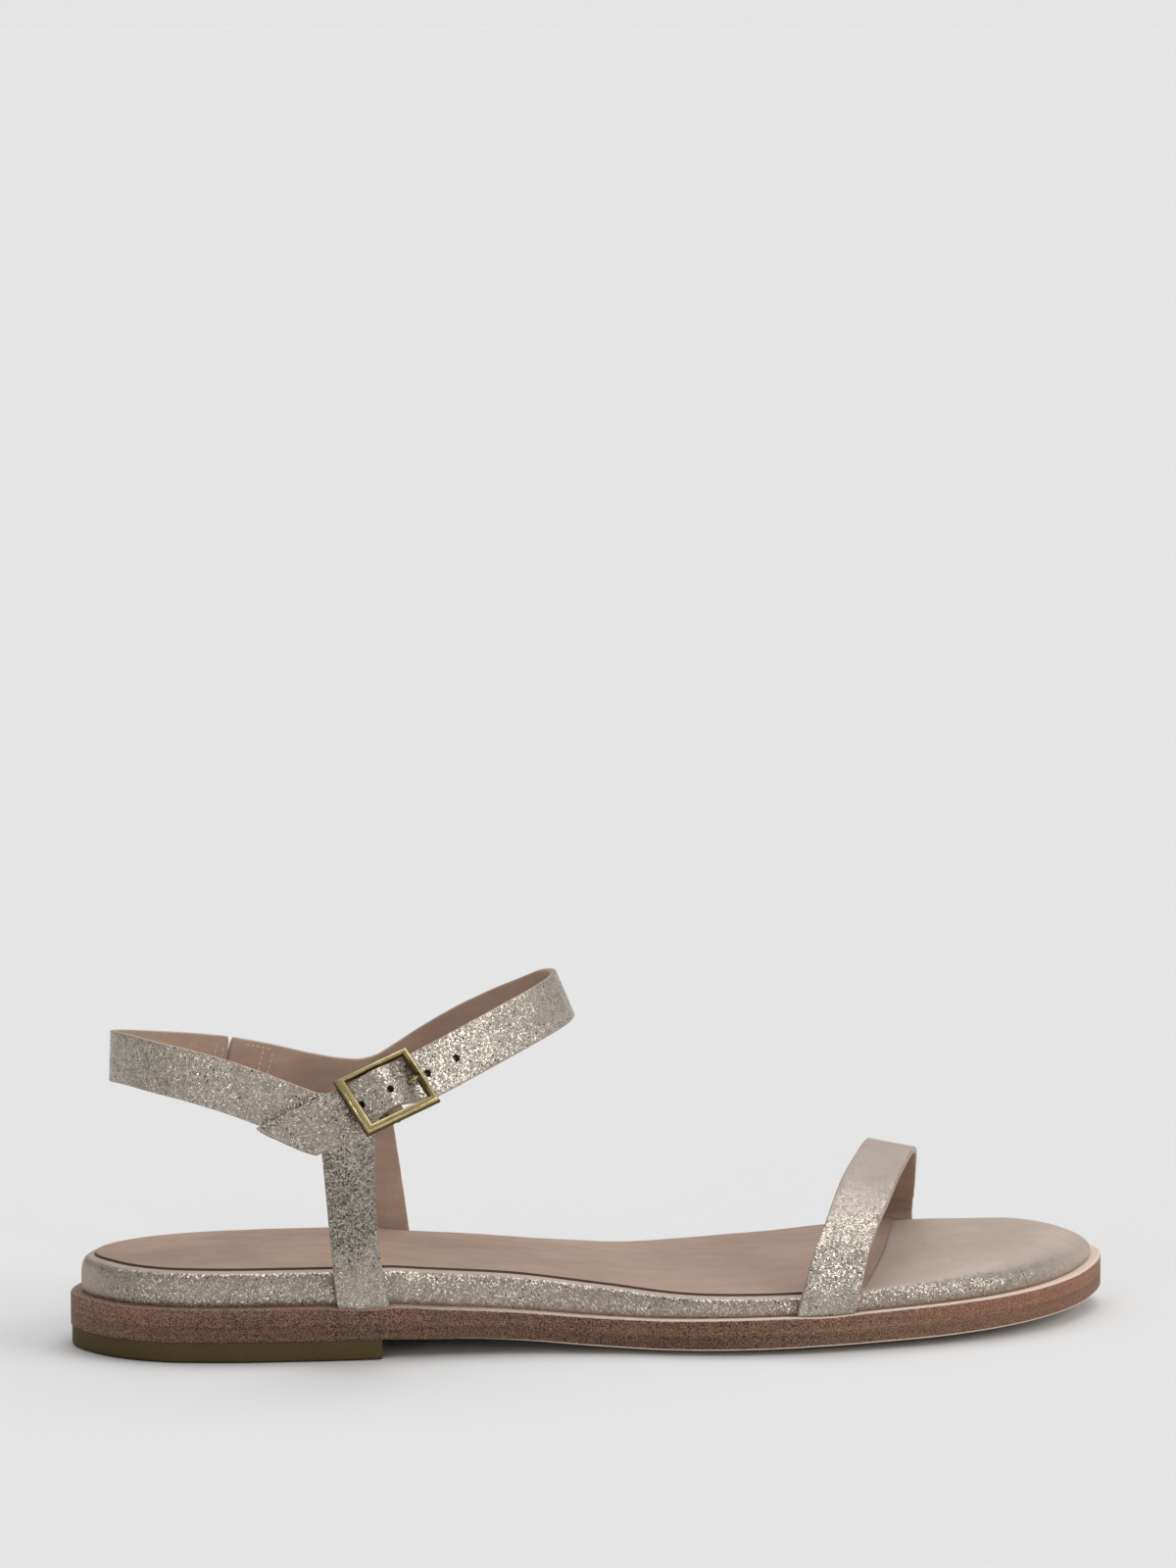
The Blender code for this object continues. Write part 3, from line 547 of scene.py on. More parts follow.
class Path:
    """A smooth curve through the rows of a table, read by the length along it, with any other columns."""

    FINE = 24

    def __init__(self, table, axes=3):
        self.rows = np.array(table, float)
        steps = np.linalg.norm(np.diff(self.rows[:, :axes], axis=0), axis=1)
        self.knots = np.append(0.0, np.cumsum(steps))
        self.slopes = np.gradient(self.rows, self.knots, axis=0)
        self.fine = np.linspace(0.0, self.knots[-1], self.FINE * len(self.rows))
        points = hermite(self.knots, self.rows, self.slopes, self.fine)[:, :axes]
        self.lengths = np.append(0.0, np.cumsum(np.linalg.norm(np.diff(points, axis=0), axis=1)))
        self.length = self.lengths[-1]

    def at(self, lengths):
        return hermite(self.knots, self.rows, self.slopes, np.interp(lengths, self.lengths, self.fine))

    def row_length(self, index):
        """The length along the curve at one row of the table."""
        return np.interp(self.knots[index], self.fine, self.lengths)

    def steps(self):
        """Even lengths along the curve, about a strap's step apart."""
        return np.linspace(0.0, self.length, round(self.length / STRAP_STEP) + 1)


HEEL_PATH, ANKLE_PATH = Path(HEEL_STRAP), Path(ANKLE_STRAP)


def unit(vectors):
    return vectors / np.linalg.norm(vectors, axis=-1, keepdims=True)


def outline_side(column, sign):
    """One side of the outline from heel to toe. A row of the other side at each end keeps the ends round."""
    rows = np.array(OUTLINE)
    side = np.stack([rows[:, 0], sign * rows[:, column]], axis=1)
    other = np.stack([rows[:, 0], -sign * rows[:, 3 - column]], axis=1)
    path = Path([other[0], (HEEL_END, 0.0), *side, TOE_TIP, other[-1]], axes=2)
    heel, toe = path.row_length(1), path.row_length(len(side) + 2)
    even = np.linspace(0.0, 1.0, SOLE_STATIONS + 1)
    closer_at_ends = even - END_CROWDING * np.sin(2 * math.pi * even) / (2 * math.pi)
    return path.at(heel + (toe - heel) * closer_at_ends)


def centred_loop():
    """The sole's outline from the heel along the lateral side to the toe and back, centred on the origin."""
    lateral, medial = outline_side(1, -1), outline_side(2, 1)
    loop = np.vstack([lateral, medial[-2:0:-1]])
    return loop - (loop.max(axis=0) + loop.min(axis=0)) / 2


LOOP = centred_loop()
MIRROR_INDEX = -np.arange(len(LOOP))
HALF_WIDTH = np.linalg.norm(LOOP - LOOP[MIRROR_INDEX], axis=1) / 2
SIDE_SIGN = np.where(np.arange(len(LOOP)) <= SOLE_STATIONS, -1.0, 1.0)
SMALLEST_HALF_WIDTH = 12.0


def inward(loop):
    """Unit vectors into a closed outline at its points."""
    along = unit(np.roll(loop, -1, axis=0) - np.roll(loop, 1, axis=0))
    return np.stack([-along[:, 1], along[:, 0]], axis=1)


def sole_loop(inset):
    """The outline moved inwards, and the share of the half width that each of its points lies at."""
    inset = np.broadcast_to(inset, len(LOOP))
    share = SIDE_SIGN * (1 - inset / np.maximum(HALF_WIDTH, SMALLEST_HALF_WIDTH))
    return LOOP + inset[:, None] * inward(LOOP), share


def side_y(x, side, inset):
    """Where one side of the outline, moved inwards, passes a station along the shoe."""
    loop = sole_loop(inset)[0]
    line = loop[: SOLE_STATIONS + 1] if side < 0 else np.roll(loop[::-1], 1, axis=0)[: SOLE_STATIONS + 1]
    return np.interp(x, line[:, 0], line[:, 1])


def underside(x, share):
    """Height of the sole's underside: flat across the middle, rising towards the edges."""
    centre, lift = table_at(UNDERSIDE, x)
    return centre + lift * ramp(np.abs(share), FLAT_SHARE, 1) ** 2


def outsole_bottom(x, share):
    """The outsole's own underside, whose rim curls up a little more ahead of the heel."""
    (curl,) = table_at(RIM_CURL, x)
    return underside(x, share) + curl * ramp(np.abs(share), CURL_FROM_SHARE, 1) ** 2


def raised(surface, height):
    """A surface that stands a height above another one."""
    return lambda x, share: surface(x, share) + height


outsole_top = raised(underside, LAYER + GAP / 2)
undented_ledge = raised(underside, SOLE_THICKNESS)


def midsole_top(x, share):
    """Top of the sole's upper layer, pressed in a little under the strap ends and along the waist."""
    height = undented_ledge(x, share)
    for side, middle, half_length, depth in LEDGE_DENTS:
        near_edge = ramp(side * share, DENT_FROM_SHARE, 1)
        height = height - depth * swell(x - middle, half_length) * np.sqrt(near_edge)
    return height


def footbed_top(x, share):
    """Top of the footbed, crowned between shoulders that follow the ledge."""
    shoulder, crown = table_at(FOOTBED, x)
    return undented_ledge(x, np.ones_like(x)) + shoulder + crown * (1 - share**2)


sock_bottom = raised(footbed_top, -SOCK_SUNK)
sock_top = raised(footbed_top, SOCK_PROUD)


def dimmed(colour, share):
    return tuple(c * share for c in colour)


class Nodes:
    """A shader tree put together node by node."""

    def __init__(self, tree):
        self.tree = tree

    def add(self, kind, inputs=None, **settings):
        node = self.tree.nodes.new("ShaderNode" + kind)
        for key, value in settings.items():
            setattr(node, key, value)
        for key, value in (inputs or {}).items():
            self.feed(node.inputs[key], value)
        return node

    def feed(self, socket, value):
        if isinstance(value, bpy.types.NodeSocket):
            self.tree.links.new(value, socket)
        else:
            socket.default_value = value

    def sum(self, operation, *numbers):
        return self.add("Math", dict(enumerate(numbers)), operation=operation).outputs["Value"]

    def vector(self, operation, *vectors, output="Vector"):
        return self.add("VectorMath", dict(enumerate(vectors)), operation=operation).outputs[output]

    def times(self, product, *shares):
        for share in shares:
            product = self.sum("MULTIPLY", product, share)
        return product

    def plus(self, total, *terms):
        """The total with each value added at its weight."""
        for value, weight in terms:
            total = self.sum("MULTIPLY_ADD", value, weight, total)
        return total

    def ease(self, value, start, end, low=0.0, high=1.0):
        """Goes smoothly from low to high while the value goes from start to end."""
        inputs = {"Value": value, "From Min": start, "From Max": end, "To Min": low, "To Max": high}
        return self.add("MapRange", inputs, interpolation_type="SMOOTHSTEP").outputs["Result"]


class Finish(Nodes):
    """A material on Blender's standard surface. Texture scales are per metre."""

    def __init__(self, name, roughness=0.5, metallic=0.0, specular=0.5):
        self.material = bpy.data.materials.new(name)
        self.material.use_nodes = True
        super().__init__(self.material.node_tree)
        self.shade("Roughness", roughness)
        self.shade("Metallic", metallic)
        self.shade("Specular IOR Level", specular)
        places = self.add("TexCoord").outputs
        self.place, self.normal = places["Object"], places["Normal"]

    def shade(self, socket, value):
        self.feed(self.tree.nodes["Principled BSDF"].inputs[socket], value)

    def station(self):
        """Place along the shoe in metres."""
        return self.add("SeparateXYZ", {"Vector": self.place}).outputs["X"]

    def stretched(self, scale):
        return self.add("Mapping", {"Vector": self.place, "Scale": scale}).outputs["Vector"]

    def noise(self, scale, detail=3.0, roughness=0.5, vector=None, output="Fac"):
        inputs = {"Scale": scale, "Detail": detail, "Roughness": roughness, "Vector": vector or self.place}
        return self.add("TexNoise", inputs).outputs[output]

    def cells(self, scale, vector, feature="F1"):
        return self.add("TexVoronoi", {"Scale": scale, "Vector": vector}, feature=feature).outputs

    def centred(self, value):
        return self.sum("SUBTRACT", value, 0.5)

    def blend(self, share, a, b, mode="MIX"):
        node = self.add("Mix", {"Factor": share}, data_type="RGBA", blend_type=mode)
        for socket, colour in ((node.inputs[6], a), (node.inputs[7], b)):
            self.feed(socket, colour if isinstance(colour, bpy.types.NodeSocket) else (*colour, 1.0))
        return node.outputs[2]

    def worn(self):
        return self.add("Attribute", attribute_name="worn").outputs["Fac"]

    def bump(self, height, depth, strength, normal=None):
        inputs = {"Height": height, "Distance": depth, "Strength": strength}
        if normal:
            inputs["Normal"] = normal
        return self.add("Bump", inputs).outputs["Normal"]


def foil_leather(name, matt, deep, bare, matt_up, matt_back, shaded):
    """Leather under broken metallic foil: flecks, cracks and dark specks, fading to matt where it faces up.
    This fading, and the fading facing back, are painted light: the flecks are made matt where they would show
    no glint.

    deep is how much painted shade darkens the leather between flecks on its upright faces, bare how much of
    it shows, matt_up the upward turn over which the foil fades, matt_back how far it fades facing back, and
    shaded how much painted shade darkens it facing down.
    """
    look = Finish(name)
    ripple = look.vector("SUBTRACT", look.noise(2300.0, 1.0, output="Color"), HALF)
    swayed = look.vector("MULTIPLY_ADD", ripple, FLECK_SWAY, look.place)
    fine, coarse = look.cells(3500.0, swayed), look.cells(1400.0, swayed)
    fine_random = look.add("SeparateColor", {"Color": fine["Color"]}).outputs
    coarse_random = look.add("SeparateColor", {"Color": coarse["Color"]}).outputs
    patches = look.noise(55.0)
    uneven = look.centred(patches)
    clumps = look.centred(look.noise(620.0, 2.0, vector=swayed))
    pores = look.noise(2600.0, 2.0)

    facing = look.add("SeparateXYZ", {"Vector": look.normal}).outputs
    upward = facing["Z"]
    # steep is where the foil shows, with its flecks, specks and cracks: on upright faces, less towards the
    # toe tip, and by matt_back less at the heel end. Its fading on faces turned up or back is painted light.
    steep = look.times(
        look.ease(upward, *matt_up, 1.0, 0.0),
        look.ease(look.station(), 0.094, 0.125, 1.0, 0.25),
        look.ease(facing["X"], -0.97, -0.7, 1.0 - matt_back, 1.0),
    )
    # Painted shade where the leather faces down, as strong as shaded: it darkens the leather, thins the
    # bright flecks and adds dark specks.
    painted_underside_shade = look.ease(upward, -0.24, -0.08, shaded, 0.0)
    # Painted shade under a rounded shoulder: dark specks a little denser on half-turned faces.
    under_shoulder_shade = look.times(look.ease(upward, 0.15, 0.4), look.ease(upward, 0.55, 0.75, 1.0, 0.0))

    score = look.plus(
        fine_random["Red"], (uneven, 0.3), (clumps, 1.1), (painted_underside_shade, -0.12), (look.worn(), 0.25)
    )
    bright = look.times(look.ease(score, bare, bare + 0.08), steep)
    score = look.plus(coarse_random["Red"], (painted_underside_shade, 0.7), (uneven, 0.3), (under_shoulder_shade, 0.08))
    speck = look.times(look.ease(score, 0.95, 0.975), look.ease(coarse["Distance"], 0.3, 0.42, 1.0, 0.0))
    seams = look.cells(800.0, swayed, "DISTANCE_TO_EDGE")["Distance"]
    broken = look.ease(look.noise(260.0, 2.0), 0.5, 0.62, 0.0, 0.4)
    crack = look.times(look.ease(seams, 0.03, 0.1, 1.0, 0.0), broken)
    speck = look.times(look.sum("MAXIMUM", speck, crack), steep)

    leather = look.blend(look.ease(patches, 0.3, 0.7), dimmed(matt, 0.93), dimmed(matt, 1.05))
    # Darkenings of the leather: cloudy and pore tones at random, then painted shade on upright faces by deep
    # and where it faces down.
    shades = (
        (look.ease(look.noise(190.0, 4.0, 0.65), 0.42, 0.7, 0.0, 0.6), 0.84),
        (look.ease(pores, 0.4, 0.7, 0.0, 0.5), 0.72),
        (look.times(steep, deep), 0.5),
        (look.times(painted_underside_shade, 0.75), 0.22),
    )
    for share, tone in shades:
        leather = look.blend(share, leather, dimmed(matt, tone))
    foil = look.blend(fine_random["Green"], FOIL_DARK, FOIL_BRIGHT)
    look.shade("Base Color", look.blend(speck, look.blend(bright, leather, foil), FOIL_SPECK))
    metal = look.times(bright, look.sum("SUBTRACT", 1.0, speck))
    look.shade("Metallic", metal)
    look.shade("Roughness", look.ease(metal, 0.0, 1.0, 0.6, 0.27))
    lean = look.vector("SUBTRACT", fine["Color"], HALF)
    tilt = look.add("VectorMath", {0: lean, "Scale": look.times(metal, 0.6)}, operation="SCALE")
    normal = look.vector("ADD", look.bump(pores, 0.00005, 0.6), tilt.outputs["Vector"])
    look.shade("Normal", look.vector("NORMALIZE", normal))
    return look.material


def smooth_leather(name, dark, light, roughness, edge=None):
    """Smooth leather with cloudy tone, streaks, pores and uneven sheen, and an edge colour where worn."""
    look = Finish(name, specular=0.4)
    clouds = look.noise(38.0, 4.0, 0.6)
    streaks = look.noise(190.0, 4.0, 0.65, look.stretched((0.35, 1.0, 1.4)))
    pores = look.noise(2400.0, 3.0, 0.6)
    tone = look.plus(clouds, (look.centred(streaks), 0.6))
    colour = look.blend(look.ease(tone, 0.2, 0.8), dark, light)
    colour = look.blend(look.ease(pores, 0.35, 0.75, 0.0, 0.35), colour, dimmed(dark, 0.7))
    if edge:
        colour = look.blend(look.ease(look.worn(), 0.35, 0.75), colour, edge)
    look.shade("Base Color", colour)
    look.shade("Roughness", look.ease(tone, 0.3, 0.7, roughness + 0.1, roughness - 0.12))
    waves = look.bump(streaks, 0.0003, 0.35, look.bump(clouds, 0.0006, 0.3))
    look.shade("Normal", look.bump(pores, 0.00005, 0.6, waves))
    return look.material


def burnished_edge(name, dark, light, pale):
    """Stacked leather burnished at the sole's edge: mottled fibres, warmer at the toe and brighter there as
    painted light, and pale worn rims.
    """
    look = Finish(name, specular=0.35)
    fibres = look.noise(3800.0, 1.0, 0.5, look.stretched((0.85, 0.85, 1.15)))
    specks = look.noise(3600.0, 1.0, 0.6)
    clouds = look.noise(80.0)
    layers = look.noise(420.0, 3.0, 0.6, look.stretched((0.03, 0.03, 2.4)))
    station = look.station()
    mottle = look.plus(fibres, (look.centred(clouds), 0.08), (look.centred(layers), 0.2))
    colour = look.blend(look.ease(mottle, 0.43, 0.54), dark, light)
    colour = look.blend(look.ease(specks, 0.52, 0.68, 0.0, 0.8), colour, dimmed(dark, 0.6))
    even = tuple(0.3 * d + 0.7 * c for d, c in zip(dark, light))
    colour = look.blend(look.ease(station, 0.02, 0.1, 0.0, 0.35), colour, even)
    # The toe's tint is partly painted light, brightening the toe's edge.
    for start, end, tint in EDGE_TINTS:
        colour = look.blend(look.ease(station, start, end), colour, tint, "MULTIPLY")
    rim = look.plus(look.worn(), (look.centred(fibres), 0.5))
    look.shade("Base Color", look.blend(look.ease(rim, 0.25, 0.9), colour, pale))
    look.shade("Roughness", look.ease(fibres, 0.3, 0.7, 0.5, 0.7))
    look.shade("Normal", look.bump(fibres, 0.00012, 0.7))
    return look.material


def heel_rubber():
    look = Finish("heel_rubber", specular=0.2)
    clouds = look.noise(90.0)
    specks = look.noise(3000.0, 2.0)
    colour = look.blend(clouds, (0.06, 0.041, 0.011), (0.088, 0.061, 0.018))
    # Darker towards the lower rim, as the heel edge's third column sets.
    colour = look.blend(look.ease(look.worn(), 0.2, 0.9), colour, (0.02, 0.016, 0.01))
    look.shade("Base Color", look.blend(look.ease(specks, 0.45, 0.8, 0.0, 0.4), colour, (0.12, 0.1, 0.06)))
    look.shade("Roughness", look.ease(clouds, 0.3, 0.7, 0.5, 0.62))
    look.shade("Normal", look.bump(specks, 0.00004, 0.5))
    return look.material


def antique_brass():
    """Brass with a dark patina in its recesses, rubbed bright along its crests."""
    look = Finish("antique_brass", metallic=1.0)
    mottle = look.noise(420.0, 4.0, 0.6)
    scratches = look.noise(1500.0, 3.0, 0.6, look.stretched((0.4, 1.0, 1.0)))
    rubbed = look.ease(look.plus(look.worn(), (look.centred(mottle), 0.7)), 0.15, 1.0)
    look.shade("Base Color", look.blend(rubbed, (0.13, 0.096, 0.04), (0.64, 0.52, 0.26)))
    look.shade("Roughness", look.ease(rubbed, 0.0, 1.0, 0.48, 0.26))
    look.shade("Normal", look.bump(scratches, 0.00003, 0.35))
    return look.material


def thread():
    look = Finish("thread", roughness=0.7)
    twist = look.noise(3000.0, 2.0)
    look.shade("Base Color", look.blend(twist, (0.5, 0.36, 0.3), (0.66, 0.52, 0.45)))
    look.shade("Normal", look.bump(twist, 0.00005, 0.6))
    return look.material


def paper_floor():
    look = Finish("paper_floor", roughness=0.95, specular=0.0)
    fibres = look.noise(3.0, 2.0)
    look.shade("Base Color", look.blend(fibres, (0.79, 0.79, 0.79), (0.8, 0.8, 0.8)))
    return look.material


def new_object(name, mesh, *finishes):
    """An object in the scene with its mesh and the finishes of its material slots."""
    made = bpy.data.objects.new(name, mesh)
    bpy.context.scene.collection.objects.link(made)
    for finish in finishes:
        mesh.materials.append(finish)
    return made


def solid(name, points, faces, *finishes, worn=None):
    """An object from points in millimetres, with its faces turned one way and shaded smooth."""
    mesh = bpy.data.meshes.new(name)
    mesh.from_pydata((np.asarray(points) * MM).tolist(), [], faces)
    if worn is not None:
        mesh.attributes.new("worn", "FLOAT", "POINT").data.foreach_set("value", np.asarray(worn, np.float32))
    shaped = bmesh.new()
    shaped.from_mesh(mesh)
    bmesh.ops.recalc_face_normals(shaped, faces=shaped.faces)
    shaped.to_mesh(mesh)
    shaped.free()
    shade(mesh)
    return new_object(name, mesh, *finishes)


def shade(mesh):
    mesh.shade_smooth()
    mesh.set_sharp_from_angle(angle=SHARP_ANGLE)


def settled(made):
    """The object with its modifiers applied to its mesh."""
    bpy.context.view_layer.update()
    graph = bpy.context.evaluated_depsgraph_get()
    mesh = bpy.data.meshes.new_from_object(made.evaluated_get(graph))
    made.modifiers.clear()
    made.data = mesh
    shade(mesh)
    return made


def cut(target, tool):
    """Takes the tool's solid out of the target, whose cut faces get its finish, and removes the tool."""
    step = target.modifiers.new(tool.name, "BOOLEAN")
    step.operation = "DIFFERENCE"
    step.solver = "EXACT"
    step.material_mode = "TRANSFER"
    step.object = tool
    settled(target)
    bpy.data.objects.remove(tool)


def kept(made, node):
    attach(made, "root")
    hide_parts(node)


def ring_faces(rings, count, closed=False):
    """Faces between neighbouring rings of points numbered ring by ring, back to the first ring if closed."""
    faces = []
    for ring in range(rings if closed else rings - 1):
        a, b = ring * count, (ring + 1) % rings * count
        faces += [(a + i, a + (i + 1) % count, b + (i + 1) % count, b + i) for i in range(count)]
    return faces


def bar_faces(rings, count):
    """Faces of a bar through rings of points, with a flat face at each end."""
    ends = [tuple(range(count))[::-1], tuple(range((rings - 1) * count, rings * count))]
    return ring_faces(rings, count) + ends


def cap_faces(points, loop, heights, share):
    """Closes a ring with rows of faces across the sole. New points go on the end of the list."""
    count, half = len(loop), len(loop) // 2
    t = np.arange(1, SOLE_COLUMNS) / SOLE_COLUMNS
    rows = [[loop[0]] * (SOLE_COLUMNS + 1)]
    for i in range(1, half):
        left, right = loop[i], loop[count - i]
        flat = (1 - t)[:, None] * points[left][:2] + t[:, None] * points[right][:2]
        level = heights(flat[:, 0], (1 - t) * share[i] + t * share[count - i])
        rows.append([left, *range(len(points), len(points) + len(t)), right])
        points += list(np.column_stack([flat, level]))
    rows.append([loop[half]] * (SOLE_COLUMNS + 1))
    # A face at the heel's or the toe's end names its one point there once
    return [
        tuple(dict.fromkeys((a[k], b[k], b[k + 1], a[k + 1])))
        for a, b in zip(rows[:-1], rows[1:])
        for k in range(SOLE_COLUMNS)
    ]


def sole_layer(name, finish, bottom, top, edge, inset, wear_along=EVEN_WEAR, toe_edge=None):
    """A layer of the sole between two surfaces, with its edge profile lofted round the outline.

    The edge can ease into another profile at the toe, and its wear is read along the shoe.
    """
    points, shares, worn = [], [], []
    toeward = ramp(LOOP[:, 0], *SOFT_TOE)
    toeward = toeward**2 * (3 - 2 * toeward)
    wear_stations, wears = np.transpose(wear_along)
    for row, toe_row in zip(edge, toe_edge or edge):
        further, level, wear = ((1 - toeward) * a + toeward * b for a, b in zip(row, toe_row))
        loop, share = sole_loop(inset + further)
        low, high = bottom(loop[:, 0], share), top(loop[:, 0], share)
        points += list(np.column_stack([loop, low + level * (high - low)]))
        shares.append(share)
        worn += list(wear * np.interp(loop[:, 0], wear_stations, wears))
    count = len(LOOP)
    faces = ring_faces(len(edge), count)
    for ring, heights in ((0, bottom), (len(edge) - 1, top)):
        faces += cap_faces(points, range(ring * count, (ring + 1) * count), heights, shares[ring])
        inner = np.array(points[len(worn) :])[:, 0]
        worn += list(edge[ring][2] * np.interp(inner, wear_stations, wears))
    return solid(name, points, faces, finish, worn=worn)


def strap_frame(path, lengths):
    """Centre, direction, upward edge and outward normal of a strap at some lengths along its path."""
    rows = path.at(lengths)
    lean = np.radians(rows[:, 3:4])
    ahead, behind = np.minimum(lengths + PROBE, path.length), np.maximum(lengths - PROBE, 0)
    along = unit((path.at(ahead) - path.at(behind))[:, :3])
    outward = unit(np.stack([along[:, 1], -along[:, 0], np.zeros(len(along))], axis=1))
    upward = unit(np.cross(outward, along))
    across = upward * np.cos(lean) - outward * np.sin(lean)
    normal = outward * np.cos(lean) + upward * np.sin(lean)
    return rows[:, :3], along, across, normal


def sheet_faces(grid):
    """Faces between neighbouring rows of point numbers."""
    faces = []
    for a, b in zip(grid[:-1], grid[1:]):
        faces += [(a[k], a[k + 1], b[k + 1], b[k]) for k in range(len(a) - 1)]
    return faces


def add_rows(points, rows):
    """Puts rows of points on the end of the list and gives their numbers, row by row."""
    grid = []
    for row in rows:
        grid.append(list(range(len(points), len(points) + len(row))))
        points += list(row)
    return grid


def creased(rows, creases, press):
    """Rows of a strap with soft troughs pressed in, each with its place, slant, half width and depth."""
    rows = np.array(rows)
    middle = rows[:, rows.shape[1] // 2]
    run = np.append(0.0, np.cumsum(np.linalg.norm(np.diff(middle, axis=0), axis=1)))[::-1]
    share = np.linspace(-1.0, 1.0, rows.shape[1])
    for place, slant, half_width, depth in creases:
        off = run[:, None] - place - slant * share[None, :]
        rows = rows + (depth * np.exp(-((off / half_width) ** 2)))[:, :, None] * np.asarray(press)
    return rows


def riser_rows(head, side, back, front, waist):
    """Rows of a riser under the points that it hangs from, down to the ledge beside the footbed."""
    ends = np.linspace(0.0, 1.0, len(head))
    base_x = back + (front - back) * ends
    base_z = midsole_top(base_x, np.full(len(head), side * LEDGE_SHARE)) - FOOT_SUNK
    base = np.stack([base_x, side_y(base_x, side, STAND_OFF), base_z], axis=1)
    climb = head - base
    rise = np.linalg.norm(climb, axis=1)[:, None]
    upright = np.array([0.0, 0.0, 1.0])
    low = base + RISER_UPRIGHT * rise * upright
    high = head - RISER_EASE * rise * unit(climb + rise * upright)
    rows = []
    for t in np.linspace(1.0, 0.0, RISER_ROWS)[1:]:
        row = (1 - t) ** 3 * base + 3 * t * (1 - t) ** 2 * low + 3 * t**2 * (1 - t) * high + t**3 * head
        climbed = (row - base)[:, 2] / climb[:, 2]
        drawn_in = waist * ends * np.sin(math.pi * np.clip(climbed, 0, 1)) ** WAIST_FULLNESS
        row[:, 0] = base_x + climbed * climb[:, 0] - drawn_in
        rows.append(row)
    return rows


def strap_object(name, points, faces, facing, finishes):
    """A strap from its outer face, thickened towards the foot. Its first face looks along facing times Y."""
    made = solid(name, points, faces, *finishes)
    if made.data.polygons[0].normal.y * facing < 0:
        made.data.flip_normals()
    wall = made.modifiers.new("wall", "SOLIDIFY")
    wall.thickness = STRAP_THICKNESS * MM
    wall.offset = -1.0
    wall.use_even_offset = True
    wall.material_offset = 1
    wall.material_offset_rim = 2
    rounding = made.modifiers.new("rounding", "BEVEL")
    rounding.width = EDGE_ROUNDING * MM
    rounding.segments = EDGE_ROUNDING_STEPS
    rounding.limit_method = "ANGLE"
    rounding.angle_limit = EDGE_ROUNDING_ANGLE
    return settled(made)


def buckle_frame_axes():
    """Where the buckle sits on the ankle strap: its middle, along the strap, up across it and outwards."""
    lengths = np.linspace(0.0, ANKLE_PATH.length / 2, BUCKLE_SEARCH_STEPS)
    length = lengths[np.argmin(np.abs(ANKLE_PATH.at(lengths)[:, 0] - BUCKLE_X))]
    return (vectors[0] for vectors in strap_frame(ANKLE_PATH, np.array([length])))


BUCKLE_MIDDLE, BUCKLE_ALONG, BUCKLE_ACROSS, BUCKLE_OUT = buckle_frame_axes()
BAR_LEVEL = GAP + FRAME_BAR / 2


def at_buckle(along, across, out):
    """A point given along, across and out from the middle of the buckle."""
    return BUCKLE_MIDDLE + along * BUCKLE_ALONG + across * BUCKLE_ACROSS + out * BUCKLE_OUT


def near_buckle(points, half_span):
    """1 at the middle of the buckle, easing to 0 a half span away along the strap."""
    near = np.linalg.norm(points - BUCKLE_MIDDLE, axis=1) < FRAME_LENGTH
    return near * swell((points - BUCKLE_MIDDLE) @ BUCKLE_ALONG, half_span)


def hump(points):
    """How far the ankle strap rises over the centre bar at some points of it."""
    return STRAP_HUMP * near_buckle(points, HUMP_HALF_SPAN)


def round_centre_bar(radius, degrees):
    """Places along and out from the buckle on an arc round its centre bar."""
    return [(radius * math.cos(a), radius * math.sin(a) - CENTRE_BAR_DROP) for a in np.radians(degrees)]


def prong_line():
    """The prong's middle line: round the centre bar, under the strap and up into the front bar's notch."""
    degrees = np.linspace(*PRONG_TURN, PRONG_TURN_STEPS)
    line = round_centre_bar(CENTRE_BAR_RADIUS + GAP + PRONG_RADIUS, degrees)
    shaft = Path([line[-1], *PRONG_SHAFT], axes=2)
    line += list(shaft.at(np.linspace(0.0, shaft.length, PRONG_SHAFT_STEPS)[1:]))
    return [at_buckle(along, 0, out) for along, out in line]


def slit_rounding(edge, from_slit):
    """How far a strap's end is trimmed back beside the slit, most at its top corner."""
    trim = SLIT_ROUNDING * ramp(edge, CORNER_FROM, 1) ** 2 + SLIT_SPREAD * (1 - edge) / 2
    return trim * (1 - ramp(from_slit, 0, SLIT_ROUNDING_FADE))


def ankle_strap_rows():
    """Rows of the ankle strap from its slanted tail to the slit, raised where it crosses the centre bar."""
    lengths = ANKLE_PATH.steps()
    columns = []
    for edge in STRAP_EDGES:
        slant = TAIL_SLANT * (1 - edge) / 2 + TAIL_ROUNDING * ramp(abs(edge), CORNER_FROM, 1) ** 2
        placed = lengths + slant * (1 - ramp(lengths, 0, TAIL_SLANT_FADE))
        placed = placed - slit_rounding(edge, ANKLE_PATH.length - lengths)
        centre, _, across, normal = strap_frame(ANKLE_PATH, placed)
        pinch = (PINCH_BELOW if edge < 0 else PINCH_ABOVE) * near_buckle(centre, PINCH_HALF_SPAN)
        column = centre + across * edge * (STRAP_WIDTH / 2 - pinch)[:, None]
        columns.append(column + hump(centre)[:, None] * normal)
    return np.stack(columns, axis=1)


def heel_strap_rows():
    """Rows of the heel strap from the slit to the lateral riser, then of the tab round the centre bar."""
    lengths = HEEL_PATH.steps()
    columns = []
    for edge in STRAP_EDGES:
        centre, _, across, _ = strap_frame(HEEL_PATH, lengths + slit_rounding(edge, lengths))
        columns.append(centre + across * edge * STRAP_WIDTH / 2)
    line = [(along, -STRAP_THICKNESS - drop) for along, drop in TAB_LINE]
    line += round_centre_bar(CENTRE_BAR_RADIUS + GAP, TAB_TURN)
    tab = [[at_buckle(along, edge * TAB_WIDTH / 2, out) for edge in STRAP_EDGES] for along, out in line]
    return np.concatenate([np.stack(columns, axis=1), tab])


